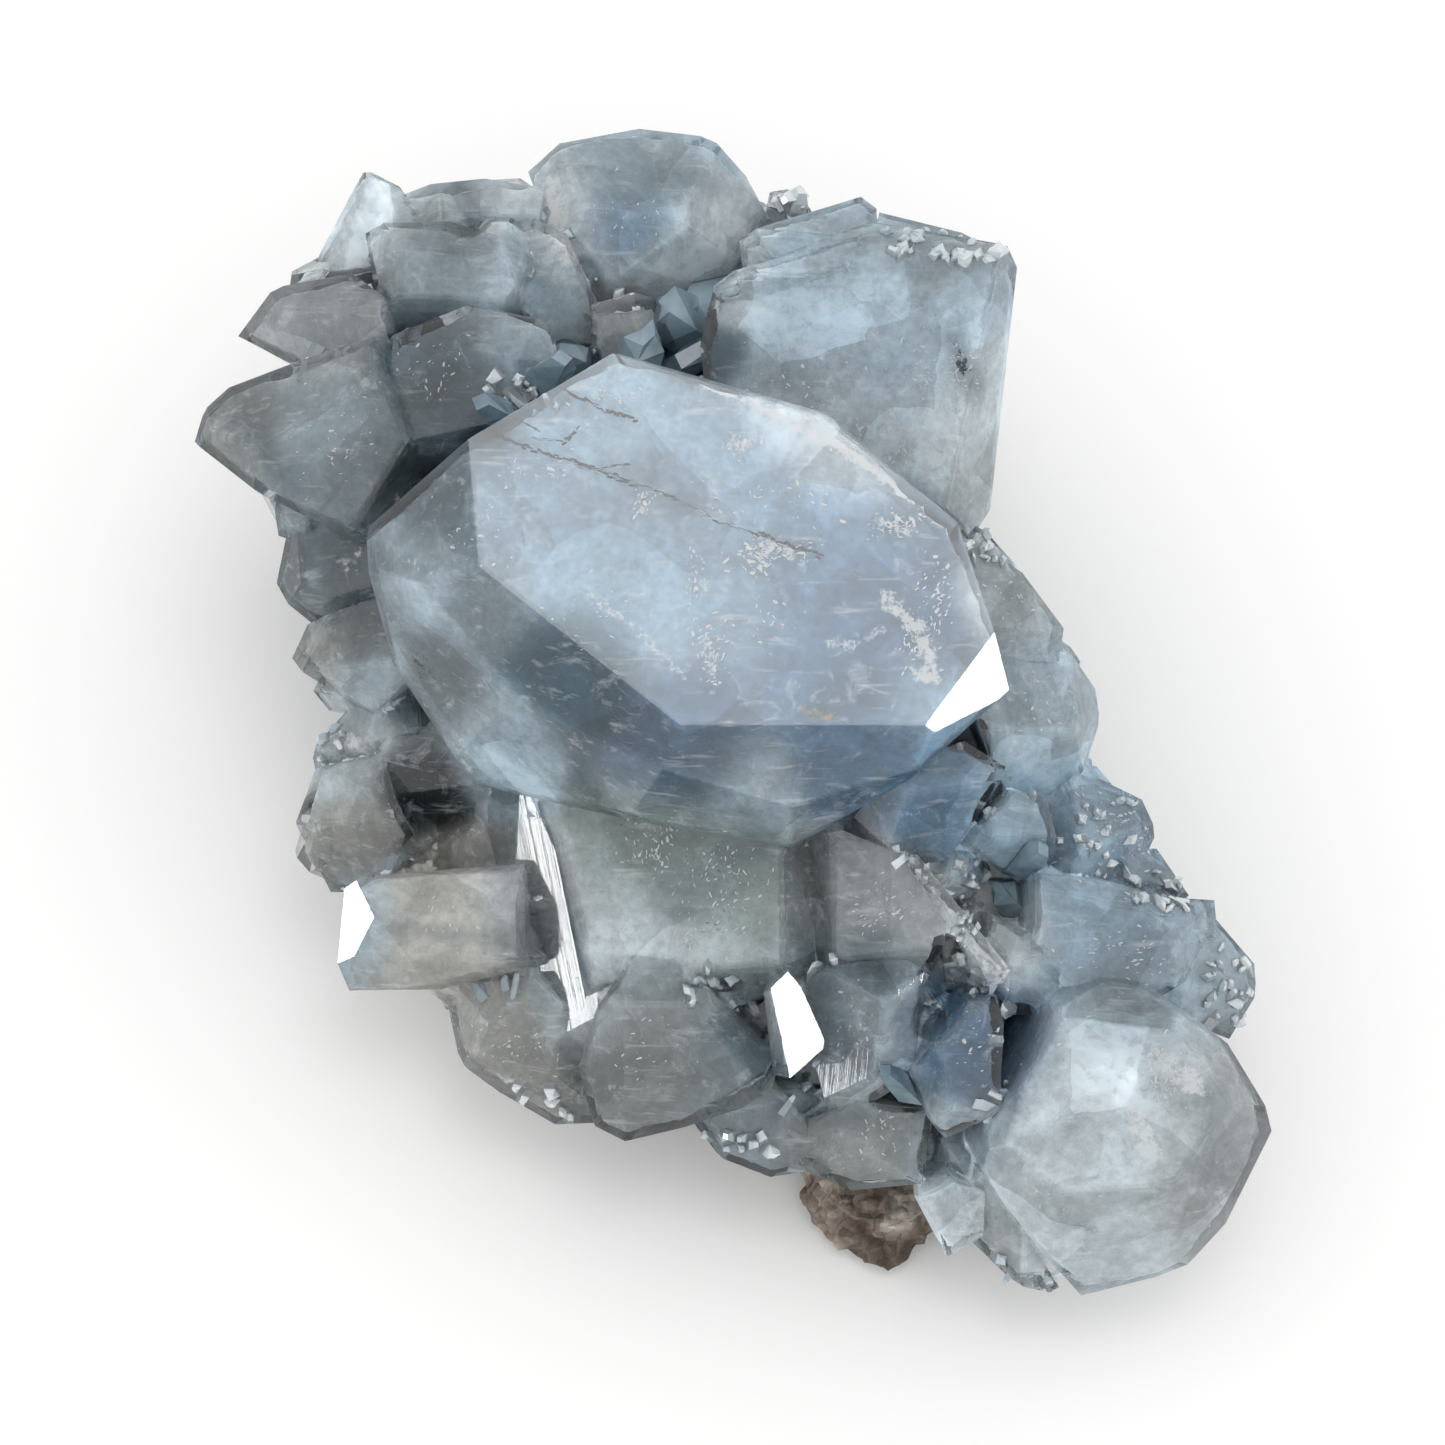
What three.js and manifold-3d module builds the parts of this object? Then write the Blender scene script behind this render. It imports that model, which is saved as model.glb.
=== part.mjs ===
// Celestite crystal cluster, 76 x 83 x 47 mm: pale blue crystals grown together on a thin piece of their
// limestone matrix. The cluster lies on the matrix with its crystal face turned up.
// The crystals are described as they are seen when the face is looked at squarely: across to the
// right, up, and out towards the eye, in millimetres from the middle of the face. The finished
// solids are then leaned back so that the broken underside of the matrix is level.
import * as THREE from 'three';
import { ConvexGeometry } from 'three/addons/geometries/ConvexGeometry.js';
import { mergeVertices } from 'three/addons/utils/BufferGeometryUtils.js';
import Module from 'manifold-3d';

// How far the face leans back from level, the seam between crystals and rock, and the height
// above the resting plane that no crystal goes below
const LEAN_DEG = 23;
const SEAM_GAP = 0.3;
const LOWEST_CRYSTAL = 1.2;

// Edges of celestite's orthorhombic cell in angstroms, which fix the angles between its faces
const CELL_A = 8.36;
const CELL_B = 5.35;
const CELL_C = 6.87;

// Chief crystals: lean outward per mm from the middle, closing in per mm of depth, and depth
const SPREAD = 0.012;
const SIDE_TAPER = 0.14;
const CHIEF_DEPTH = 17;

// Small crystals: the range of each measure as a share of the crystal's size
const SMALL_LENGTH = [1.85, 2.25];
const SMALL_HALF_WIDTH = [0.65, 0.95];
const SMALL_HALF_THICK = [0.45, 0.62];
const SMALL_SKEW = [-0.15, 0.15];
const SMALL_BASE = 0.5;
const LONG_AXIS = new THREE.Vector3(1, 0, 0);
const SIGNS = [1, -1];

const MERGE_DISTANCE = 1e-4;
const PLANE_TOLERANCE = 1e-6;
const PARALLEL = 1e-5;

const wasm = await Module();
wasm.setup();

// Returns a repeatable stream of numbers from 0 to 1
function stream(seed) {
  let state = seed;
  return () => {
    state = (state + 0x6d2b79f5) | 0;
    let t = Math.imul(state ^ (state >>> 15), 1 | state);
    t = (t + Math.imul(t ^ (t >>> 7), 61 | t)) ^ t;
    return ((t ^ (t >>> 14)) >>> 0) / 4294967296;
  };
}

// A plane that keeps what lies behind it, given by its outward normal and a point on it
function facePlane(normal, point) {
  const unit = normal.clone().normalize();
  return { normal: unit, distance: unit.dot(point) };
}

// Corners of the convex solid that the planes enclose: every three planes meet in one point
function cornersOf(planes) {
  const corners = [];
  for (let i = 0; i < planes.length; i += 1) {
    for (let j = i + 1; j < planes.length; j += 1) {
      for (let k = j + 1; k < planes.length; k += 1) {
        const corner = meetingPoint(planes[i], planes[j], planes[k]);
        if (!corner) continue;
        const outside = planes.some((p) => p.normal.dot(corner) > p.distance + PLANE_TOLERANCE);
        const known = corners.some((other) => other.distanceTo(corner) < MERGE_DISTANCE);
        if (!outside && !known) corners.push(corner);
      }
    }
  }
  return corners;
}

function meetingPoint(a, b, c) {
  const bc = b.normal.clone().cross(c.normal);
  const volume = a.normal.dot(bc);
  if (Math.abs(volume) < PARALLEL) return null;
  const ca = c.normal.clone().cross(a.normal);
  const ab = a.normal.clone().cross(b.normal);
  return bc
    .multiplyScalar(a.distance)
    .add(ca.multiplyScalar(b.distance))
    .add(ab.multiplyScalar(c.distance))
    .divideScalar(volume);
}

function toManifold(geometry) {
  const bare = geometry.clone();
  bare.deleteAttribute('normal');
  bare.deleteAttribute('uv');
  const merged = mergeVertices(bare, MERGE_DISTANCE);
  const vertProperties = new Float32Array(merged.attributes.position.array);
  const triVerts = new Uint32Array(merged.index.array);
  return new wasm.Manifold(new wasm.Mesh({ numProp: 3, vertProperties, triVerts }));
}

// The mesh of a solid's main body. Voids sealed between crystals are filled, and chips that hang
// on nothing are dropped, by keeping only the triangles joined to the greatest number of others.
function toGeometry(manifold) {
  const mesh = manifold.getMesh();
  const leader = Array.from({ length: mesh.vertProperties.length / 3 }, (_, index) => index);
  const leaderOf = (corner) => {
    let top = corner;
    while (leader[top] !== top) top = leader[top];
    leader[corner] = top;
    return top;
  };
  for (let at = 0; at < mesh.triVerts.length; at += 3) {
    const [first, second, third] = mesh.triVerts.subarray(at, at + 3);
    leader[leaderOf(second)] = leaderOf(first);
    leader[leaderOf(third)] = leaderOf(first);
  }
  const bodies = new Map();
  for (let at = 0; at < mesh.triVerts.length; at += 3) {
    const top = leaderOf(mesh.triVerts[at]);
    if (!bodies.has(top)) bodies.set(top, []);
    bodies.get(top).push(...mesh.triVerts.subarray(at, at + 3));
  }
  const mainBody = [...bodies.values()].sort((a, b) => b.length - a.length)[0];
  const geometry = new THREE.BufferGeometry();
  geometry.setAttribute('position', new THREE.BufferAttribute(mesh.vertProperties, 3));
  geometry.setIndex(mainBody);
  geometry.computeVertexNormals();
  return geometry;
}

// A solid shaped in the face's directions, leaned back into the lying position
function solidFromFace(geometry) {
  geometry.rotateX(THREE.MathUtils.degToRad(LEAN_DEG));
  return toManifold(geometry);
}

// One of the cluster's chief crystals. Each front facet is a point [across, up, out] with its fall
// to the right and upward in mm per mm. The outline is the rim where the facets end, seen
// squarely. From there the sides run back, away from the middle of the cluster and closing in,
// until the crystal is lost in its neighbours.
function chiefCrystal({ outline, facets, depth = CHIEF_DEPTH }) {
  const frontAt = (across, up) => Math.min(
    ...facets.map(([x, y, out, fallRight, fallUp]) => out - fallRight * (across - x) - fallUp * (up - y)),
  );
  const rim = outline.map(([across, up]) => new THREE.Vector3(across, up, frontAt(across, up)));
  const centre = new THREE.Vector3();
  rim.forEach((corner) => centre.add(corner));
  centre.divideScalar(rim.length);
  const grow = new THREE.Vector3(centre.x * SPREAD, centre.y * SPREAD, 1);
  const planes = rim.map((corner, index) => {
    const edge = rim[(index + 1) % rim.length].clone().sub(corner);
    const outward = new THREE.Vector3(edge.y, -edge.x, 0).normalize();
    if (outward.dot(corner.clone().sub(centre)) < 0) outward.negate();
    const normal = edge.cross(grow.clone().addScaledVector(outward, SIDE_TAPER));
    if (normal.dot(outward) < 0) normal.negate();
    return facePlane(normal, corner);
  });
  facets.forEach(([x, y, out, fallRight, fallUp]) => {
    planes.push(facePlane(new THREE.Vector3(fallRight, fallUp, 1), new THREE.Vector3(x, y, out)));
  });
  planes.push(facePlane(new THREE.Vector3(0, 0, -1), centre.clone().setZ(centre.z - depth)));
  return solidFromFace(new ConvexGeometry(cornersOf(planes)));
}

// The face normal that a set of Miller indices gives in the celestite cell, long axis along X
function cellFace(h, k, l) {
  return new THREE.Vector3(h / CELL_A, k / CELL_B, l / CELL_C).normalize();
}

// A small crystal with celestite's own forms: the prism {011} and pinacoid {001} along the length,
// and {210} and {101} on the free end. It grows from foot towards aim, and no two are quite alike.
function smallCrystal(foot, aim, size, random) {
  const pick = ([low, high]) => low + (high - low) * random();
  const length = size * pick(SMALL_LENGTH);
  const halfWidth = size * pick(SMALL_HALF_WIDTH);
  const halfThick = size * pick(SMALL_HALF_THICK);
  const skew = pick(SMALL_SKEW);
  const planes = [];
  const put = (normal, distance) => planes.push({ normal, distance });
  SIGNS.forEach((sign) => {
    put(cellFace(0, 0, sign), halfThick);
    SIGNS.forEach((side) => put(cellFace(0, side, sign), halfWidth * cellFace(0, 1, 1).y));
    put(cellFace(1, 0, sign), length * cellFace(1, 0, 1).x * (1 + skew * sign));
    put(cellFace(2, sign, 0), length * cellFace(2, 1, 0).x * (1 - skew * sign));
  });
  put(new THREE.Vector3(-1, 0, 0), halfWidth * SMALL_BASE);
  const geometry = new ConvexGeometry(cornersOf(planes));
  geometry.rotateX(random() * Math.PI);
  geometry.applyQuaternion(new THREE.Quaternion().setFromUnitVectors(LONG_AXIS, aim.clone().normalize()));
  geometry.translate(foot.x, foot.y, foot.z);
  return solidFromFace(geometry);
}

// The large, nearly clear crystal that lies across the front
const MAIN = {
  outline: [
    [-24.9, 12.8], [-24.7, 13.7], [-7.5, 25.7], [7.2, 21.5], [16.3, 13.9], [19.9, 2.3],
    [13.1, -3.9], [4.9, -8.8], [-17.6, -4.4], [-23.2, 4.1],
  ],
  facets: [
    [0, 12, 42, 0.05, 0.15], [-17.2, 14, 42.5, -0.75, 0.08], [-20.9, 9.3, 39.9, -1.05, -1.03],
    [-10.2, 5.6, 43.5, -0.55, -0.61], [6, -0.2, 43.5, 0.05, -0.85],
    [-15, 1.9, 38.6, -0.85, -1.24], [0, -4.4, 40.3, -0.2, -1.72], [9, -4.6, 39.6, 0.31, -1.71],
    [16.8, 3.4, 42.4, 0.53, -0.21], [15.6, -0.7, 41.6, 1.1, -1.35],
    [1, 23, 40.3, 0.4, 1.3], [11.6, 17.6, 40.6, 0.85, 1.2],
  ],
  depth: 26,
};

// The saturated blue crystal at the top of the cluster
const CROWN = {
  outline: [
    [-14.1, 39.9], [-11.7, 41.6], [-7.4, 42.9], [-1.6, 42.2], [1.7, 39.4], [3.3, 36.5],
    [0.6, 32.1], [-4.4, 29.7], [-8.4, 29.6], [-11.8, 34],
  ],
  facets: [
    [-7, 35.6, 25, 0, -0.12], [-7.3, 37.3, 24.8, 0.05, 0.75], [-5.4, 33.3, 24.7, 0.5, -0.8],
    [-9.4, 33.6, 24.8, -0.72, -0.62], [-10.6, 37.6, 24.2, -0.9, 0.35],
    [0.4, 36, 21.7, 1.1, 0.25],
  ],
};

// The broad tabular crystal at the upper right with its pale side face, and two blades beside it
const TABLET = {
  outline: [
    [-1.6, 26.6], [-0.7, 30.6], [4, 33.2], [10.8, 35.6], [19.6, 33.9], [20.9, 32.3],
    [19.1, 15.2], [17.6, 12.9], [5, 19], [-1.2, 23.4],
  ],
  facets: [
    [8, 27, 29, -0.16, 0.02], [17.4, 22, 30.4, 1.5, -0.34], [12, 33.6, 29.5, -0.1, 1.1],
    [1, 30, 27.8, -0.5, 0.9],
  ],
};
const BLADES = [
  {
    outline: [[-0.7, 30.9], [9.9, 34.6], [9, 32.2], [0.2, 29.2]],
    facets: [[4, 32.4, 29.4, 0, 0.5], [4, 31.4, 29.4, -0.1, -0.9]],
  },
  {
    outline: [[1.2, 34.3], [9.9, 37.6], [11, 36.7], [11, 34.5], [1.6, 31]],
    facets: [[6, 35.4, 26.4, 0.05, 0.9], [6, 34, 26.4, -0.05, -0.5]],
  },
  {
    outline: [[10.6, 34], [11.2, 36.4], [17, 34.9], [20.2, 33.2], [18, 31]],
    facets: [[15, 34, 27.6, 0.1, 1], [14, 33, 28, -0.2, 0.1]],
  },
];

// The crystals down the right side
const RIGHT_SIDE = [
  {
    outline: [[15.5, 11], [17.9, 13.9], [22.7, 11], [24.1, 6.6], [24.8, 4.4], [18.4, 4]],
    facets: [[20.5, 9, 32, 0.35, 0.25], [21.6, 10.6, 31, 0.8, 0.9], [21, 6.4, 32, 0.3, -0.8]],
  },
  {
    outline: [
      [18, 0], [19, 6], [24.4, 5.4], [26.6, 2.4], [26.8, -0.3], [25.3, -3.9], [22.7, -5.8],
      [19.5, -4.4],
    ],
    facets: [
      [20.5, -0.4, 32, 0.5, 0.28], [20.5, -0.5, 32, 0.5, -0.75], [25.8, 1, 27.8, 2, 0.6],
      [25.6, -1.4, 28, 2.2, -0.3],
    ],
  },
  {
    outline: [[8.6, -7.6], [12, -3], [17, -1.3], [19.9, -3.1], [16, -9.7], [11.2, -9]],
    facets: [[16.5, -3.8, 34.5, 0.15, 0.2], [16.4, -4.7, 34.4, 0.3, -0.95], [10, -6.6, 32, -0.7, -0.6]],
  },
  {
    outline: [[16.6, -8.4], [20.3, -4.7], [22.9, -5.3], [23.4, -9.6], [20.4, -11]],
    facets: [[20.6, -7, 31.4, 0.25, 0.3], [20.6, -8.6, 31.2, 0.2, -0.85], [18, -8, 31, -0.8, 0.1]],
  },
  {
    outline: [[22.7, -5.8], [25.4, -3.3], [29.9, -5.5], [30.8, -8.2], [29.2, -11.6], [22.7, -10]],
    facets: [[26.4, -7, 28, 0.4, 0.35], [27.4, -9, 27.8, 0.7, -0.5], [24.4, -7.2, 28, -0.6, 0.2]],
  },
  {
    outline: [[28, -9], [31, -9], [33.3, -12.4], [30.4, -13.6]],
    facets: [[31, -11.2, 26, 0.7, 0.5], [30.4, -12, 26, 0.3, -0.7]],
  },
  {
    outline: [[22, -10.6], [26.6, -11], [33.4, -13], [34, -16], [31, -19.4], [25.2, -19.4], [22, -15.4]],
    facets: [
      [28, -15, 31.4, 0.02, -0.12], [32, -14.6, 31.2, 0.9, 0.1], [27, -11.9, 31, 0.25, 0.9],
      [27.5, -18.2, 31.6, 0.1, -1],
    ],
  },
  {
    outline: [[31, -14], [35, -13.9], [37.9, -17.2], [38, -18.6], [36.2, -22.6], [32, -21]],
    facets: [[34.6, -17.4, 28.4, 0.7, 0.15], [34.4, -19.6, 28.2, 0.5, -0.8]],
  },
  {
    outline: [[33.1, -12.5], [34.9, -12.6], [35.1, -15.4], [33.4, -15.6]],
    facets: [[34, -14, 29.2, 0.2, 0.3]],
  },
];

// The large milky crystal at the lower right
const LOWER_RIGHT = {
  outline: [
    [18.7, -29], [18.3, -31.6], [19.9, -34], [26, -41.3], [30, -41.8], [33, -38.4],
    [36.7, -36.9], [38.4, -32.6], [39, -29.4], [37.4, -25.6], [35.7, -22.7], [30.6, -18.9],
    [27, -18.2], [23.8, -20],
  ],
  facets: [
    [27, -27, 35, -0.06, 0.08], [34, -29.6, 35.2, 0.8, -0.5], [26, -32.8, 35.3, 0.02, -0.95],
    [21.5, -31, 34.9, -0.75, -0.7], [29.4, -33.1, 35.4, 0.35, -0.95],
    [28.6, -20.9, 34.6, 0.05, 1.05], [21.4, -24.5, 34.2, -1.15, 0.45],
    [34, -23.6, 34.6, 0.95, 0.75],
  ],
};

// The crystals below the large one, from the tall striated prism at the left to the rim
const LOWER_CENTRE = [
  {
    outline: [
      [-15.9, -4], [-11.4, -2], [5.8, -5], [6.6, -17.2], [2.7, -19], [-8.6, -20.4],
      [-12.6, -18.8],
    ],
    facets: [
      [-1, -12, 30.5, -0.1, 0], [-9.4, -11, 31.3, -1.25, -0.3], [-2, -17.6, 30.4, 0.05, -1.3],
      [5.2, -12, 30, 1.2, 0],
    ],
  },
  {
    outline: [
      [-17.4, -4], [-14.2, -4], [-9.6, -14], [-8.8, -20], [-10.2, -24.6], [-12.8, -19.4],
      [-16.2, -12],
    ],
    facets: [
      [-12.6, -12, 28, -0.5, -0.15], [-10.6, -18.8, 29.6, -0.2, -0.7],
      [-14.8, -12, 26.9, -1.4, -0.1],
    ],
  },
  {
    outline: [
      [-8.9, -20.2], [-6.2, -16.2], [-2.8, -16.4], [0.8, -20.4], [4.2, -23.2], [3.5, -25.8],
      [-2.6, -28.6], [-6.9, -29.7], [-9, -28.6], [-10.2, -24.4],
    ],
    facets: [
      [-3.5, -22.4, 32.4, -0.02, -0.1], [-4, -26, 32.4, -0.12, -0.85],
      [-7.6, -23, 32, -0.85, -0.15], [-4.2, -18.6, 31.8, 0, 0.85], [0.6, -22.4, 32, 0.7, 0.45],
    ],
  },
  {
    outline: [[2.9, -19], [4.6, -17.5], [5.5, -18.6], [7.2, -22.4], [7, -23.2], [5.4, -24.5], [3.6, -25]],
    facets: [[5, -21, 33.4, 0.32, -0.12], [3.9, -22, 33.2, -1.9, -0.6]],
  },
  {
    outline: [[5.4, -8], [8.4, -7.6], [12.9, -9.4], [15.8, -14], [15, -17.6], [6, -18.6]],
    facets: [
      [11, -12.4, 31.2, -0.16, -0.16], [7.8, -12, 31, -1.7, -0.2],
      [10, -16.4, 30.4, -0.05, -1],
    ],
  },
  {
    outline: [[12.8, -9.3], [13.7, -9.3], [20.3, -17.4], [19.8, -18.4], [18.4, -18.6]],
    facets: [[16.4, -13.6, 33, -0.2, -0.28]],
  },
  {
    outline: [
      [5.8, -17.4], [12.9, -16.6], [17.2, -19.8], [13.5, -24.3], [12.9, -27.2], [7.7, -28],
      [6.2, -23],
    ],
    facets: [
      [10, -21, 31.2, -0.5, -0.1], [13, -20.6, 31, 0.5, -0.2], [10, -25.4, 30.6, -0.1, -0.9],
      [10.4, -18.2, 31, -0.1, 0.7],
    ],
  },
  {
    outline: [
      [14.7, -22.7], [17.3, -19.7], [20.8, -18.9], [24.6, -22.7], [20.8, -26.1], [19, -29.3],
      [18.2, -31.6], [14.5, -27.9], [13.1, -24.9],
    ],
    facets: [
      [19, -23, 33.2, 0.12, -0.1], [15.4, -25, 33, -1.3, -0.35], [18, -27.4, 33, -0.1, -0.9],
      [19.2, -20.6, 33, 0.3, 0.85],
    ],
  },
  {
    outline: [[18.7, -13.4], [22.7, -15.3], [25.4, -18.8], [22.9, -20.8], [18.7, -20.2]],
    facets: [
      [21.4, -17.6, 31.4, 0.4, -0.35], [20.8, -16, 31.6, 0.3, 0.7],
      [20, -18.4, 31.4, -0.6, -0.2],
    ],
  },
  {
    outline: [[5.6, -28.4], [9.6, -26.8], [14.9, -27.5], [14.2, -32.8], [9.1, -33.3], [5.4, -31.4]],
    facets: [[9.4, -29, 29, -0.3, -0.05], [12, -29, 28.8, 0.35, -0.15], [10, -31.6, 28.6, 0, -1]],
  },
  {
    outline: [[-2.8, -27.6], [3.5, -25.2], [6, -28.4], [5.8, -32], [3.4, -32.4], [-0.4, -30.6]],
    facets: [[2.4, -28.6, 28.6, 0.1, -0.25], [2.6, -30.6, 28, 0, -1.1], [0, -28.6, 28.2, -0.8, -0.3]],
  },
  {
    outline: [[13.6, -33.6], [16.3, -32.2], [18.6, -33.3], [18.5, -36.4], [15.9, -37.9]],
    facets: [[16.4, -34.6, 29.4, 0.15, -0.2], [14.8, -35, 29.2, -1, -0.5]],
  },
  {
    outline: [[18.2, -31.4], [20.4, -34.6], [24, -40.2], [22.4, -41.1], [20.2, -39.3], [17, -37.2]],
    facets: [[20, -36, 28.8, -0.35, -0.3], [21.4, -37.6, 28.8, 0.6, -0.3]],
  },
];

// The smoky crystals down the left side
const LEFT_SIDE = [
  {
    outline: [
      [-27.2, -17.5], [-26.8, -11], [-25.5, -10.9], [-21, -8.2], [-14, -8.4], [-13.8, -17.4],
      [-20.1, -19], [-26.6, -19.1],
    ],
    facets: [
      [-19, -11.4, 28.6, -0.08, 0.42], [-19, -15.5, 29.4, -0.08, -0.12],
      [-19, -16.8, 29.2, -0.1, -1], [-24.8, -13.9, 29.1, -0.6, 0.15],
    ],
  },
  {
    outline: [
      [-20, -18.6], [-13, -18], [-9, -22.6], [-8.6, -28.6], [-12, -28.8], [-16, -26.4],
      [-18.9, -23.6],
    ],
    facets: [
      [-14.5, -22, 27, -0.3, -0.2], [-13, -25.4, 26.2, -0.3, -1], [-17.4, -21, 26.6, -1.2, 0],
      [-11, -23, 27, 0.3, -0.25],
    ],
  },
  {
    outline: [[-30.6, -7.1], [-29.2, -3.3], [-24.6, -2.2], [-22, -8], [-25.8, -12.2], [-28.2, -12.2]],
    facets: [[-27.4, -5.6, 23.6, -0.6, 0.35], [-27.6, -8, 23.4, -0.5, -0.6]],
  },
  {
    outline: [[-25.3, -3.3], [-20.3, 0.4], [-16.6, -2], [-16.6, -8], [-23, -6.1]],
    facets: [
      [-20.6, -2.6, 25, -0.25, -0.1], [-20.4, -4.8, 24.8, -0.15, -0.9],
      [-22.4, -1.9, 24.8, -0.9, 0.5],
    ],
  },
  {
    outline: [[-25, -2.6], [-23.2, 0.6], [-20.9, 1.8], [-18, 0], [-20.6, -3.6]],
    facets: [[-22.6, -0.6, 24, -0.4, 0.5]],
  },
  {
    outline: [[-29.3, -1.7], [-27, 0.9], [-22, 2.6], [-21, -2], [-26, -4], [-29.3, -3.4]],
    facets: [[-26, -1, 22.4, -0.6, 0.4], [-25, -2.4, 22.4, -0.3, -0.6]],
  },
  {
    outline: [[-32, 10], [-31, 14.5], [-25, 14.6], [-22.6, 9.4], [-29.4, 7.1]],
    facets: [[-27.4, 11.4, 26, -0.35, 0.2], [-28, 9.4, 25.6, -0.3, -0.8], [-30.2, 12, 25, -1.6, 0.1]],
  },
  {
    outline: [[-30.8, 4.6], [-29.7, 7], [-23, 9.4], [-21.6, 3], [-25, 0.6], [-26.4, 1.4]],
    facets: [[-26, 5.4, 27, -0.5, 0.12], [-25.6, 3.6, 27, -0.4, -0.75], [-28.8, 5.6, 25.8, -1.3, 0.5]],
  },
];

// The prisms and dark blocks at the upper left
const UPPER_LEFT = [
  {
    outline: [
      [-37.9, 19], [-37, 21.8], [-35.1, 23.8], [-30, 25.6], [-24.6, 27.2], [-22, 20],
      [-26, 13.6], [-27.6, 13], [-32.2, 15.9],
    ],
    facets: [
      [-29, 19, 32, -0.12, -0.28], [-30, 23.2, 31.2, -0.62, 0.58],
      [-33.4, 19.4, 31.2, -1, -0.24], [-35.9, 20.4, 29.4, -1.7, 0.3],
    ],
  },
  {
    outline: [[-34.6, 27.6], [-31.3, 31.1], [-26.4, 32], [-24, 30.2], [-22.6, 26], [-30.9, 25.6]],
    facets: [
      [-28, 28, 28.4, -0.25, -0.12], [-28.6, 29.6, 28.2, -0.2, 0.85],
      [-32.2, 28, 27.4, -1.1, 0.3],
    ],
  },
  {
    outline: [
      [-24.9, 40.9], [-23.2, 38.5], [-19.3, 36.5], [-19.4, 33], [-26.6, 32], [-30.3, 31.4],
      [-29.6, 33.4], [-26.4, 38.6],
    ],
    facets: [
      [-24.4, 34.6, 23.4, -0.25, 0.3], [-22.4, 36.6, 22.4, 0.5, 0.75],
      [-27.4, 34.4, 22.4, -0.95, 0.55],
    ],
  },
  {
    outline: [[-23.2, 37.8], [-21, 38.7], [-17.1, 39.1], [-12.8, 38.4], [-13, 35.4], [-20.9, 35.4]],
    facets: [[-18, 37.2, 22.4, -0.05, 0.55], [-18, 36.4, 22.6, -0.05, -0.45]],
  },
  {
    outline: [
      [-25.5, 34.9], [-19.4, 35.7], [-15.7, 34.5], [-14.2, 31], [-15.7, 28.2], [-23, 27.6],
      [-24.6, 30],
    ],
    facets: [
      [-19.4, 32, 28.6, -0.05, 0.12], [-19.4, 33.8, 28.2, 0, 0.95],
      [-19.4, 29.8, 28.6, -0.1, -0.7], [-23.2, 31.6, 28.2, -1, 0.2],
    ],
  },
  {
    outline: [
      [-23.2, 27.4], [-18, 29.6], [-12.4, 28.2], [-11.4, 24.2], [-15.9, 20.4], [-19.4, 18.8],
      [-23.6, 18.9], [-25.3, 23],
    ],
    facets: [
      [-18, 24, 31.6, -0.08, -0.05], [-17.4, 27, 31.4, 0, 0.75], [-18.6, 20.9, 31.6, 0.1, -0.9],
      [-23.2, 23, 31.4, -0.95, 0], [-13.4, 25, 31, 0.85, 0.15],
    ],
  },
  {
    outline: [
      [-16.4, 34.6], [-13.4, 36], [-11, 34.6], [-9.2, 30.4], [-9, 26.8], [-12.6, 26.4],
      [-14.4, 30],
    ],
    facets: [[-14.6, 33, 25.4, -0.5, 0.3], [-11.4, 30, 25.4, 0.3, -0.25]],
  },
  {
    outline: [[-9.4, 29.8], [-4.6, 30.2], [-3.4, 27], [-4.8, 24.6], [-9.4, 24.6]],
    facets: [[-6.6, 27.4, 26, -0.3, -0.15], [-5, 27.4, 25.8, 0.8, 0.1]],
  },
];

// The mass of celestite between the crystals and the matrix, which shows only as dark ground in
// the gaps. Its blocks are given as the crystals are.
const GROUND_MASS = [
  {
    outline: [
      [-22, 31], [-10, 37], [1, 36], [16, 31], [16, 10], [0, 2], [-22, 6], [-27, 18],
    ],
    facets: [[0, 18, 23, 0, 0.1], [0, 30, 21, 0, 0.9], [-20, 18, 23, -0.8, 0]],
    depth: 36,
  },
  {
    outline: [
      [-24, 8], [0, 10], [19, 8], [26, -6], [32, -20], [30, -32], [20, -34], [4, -30],
      [-14, -20], [-25, -8],
    ],
    facets: [[0, -6, 27, 0, -0.1], [16, -20, 27, 0.12, -0.25], [-18, -6, 24, -0.6, -0.1]],
    depth: 26,
  },
];

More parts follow.
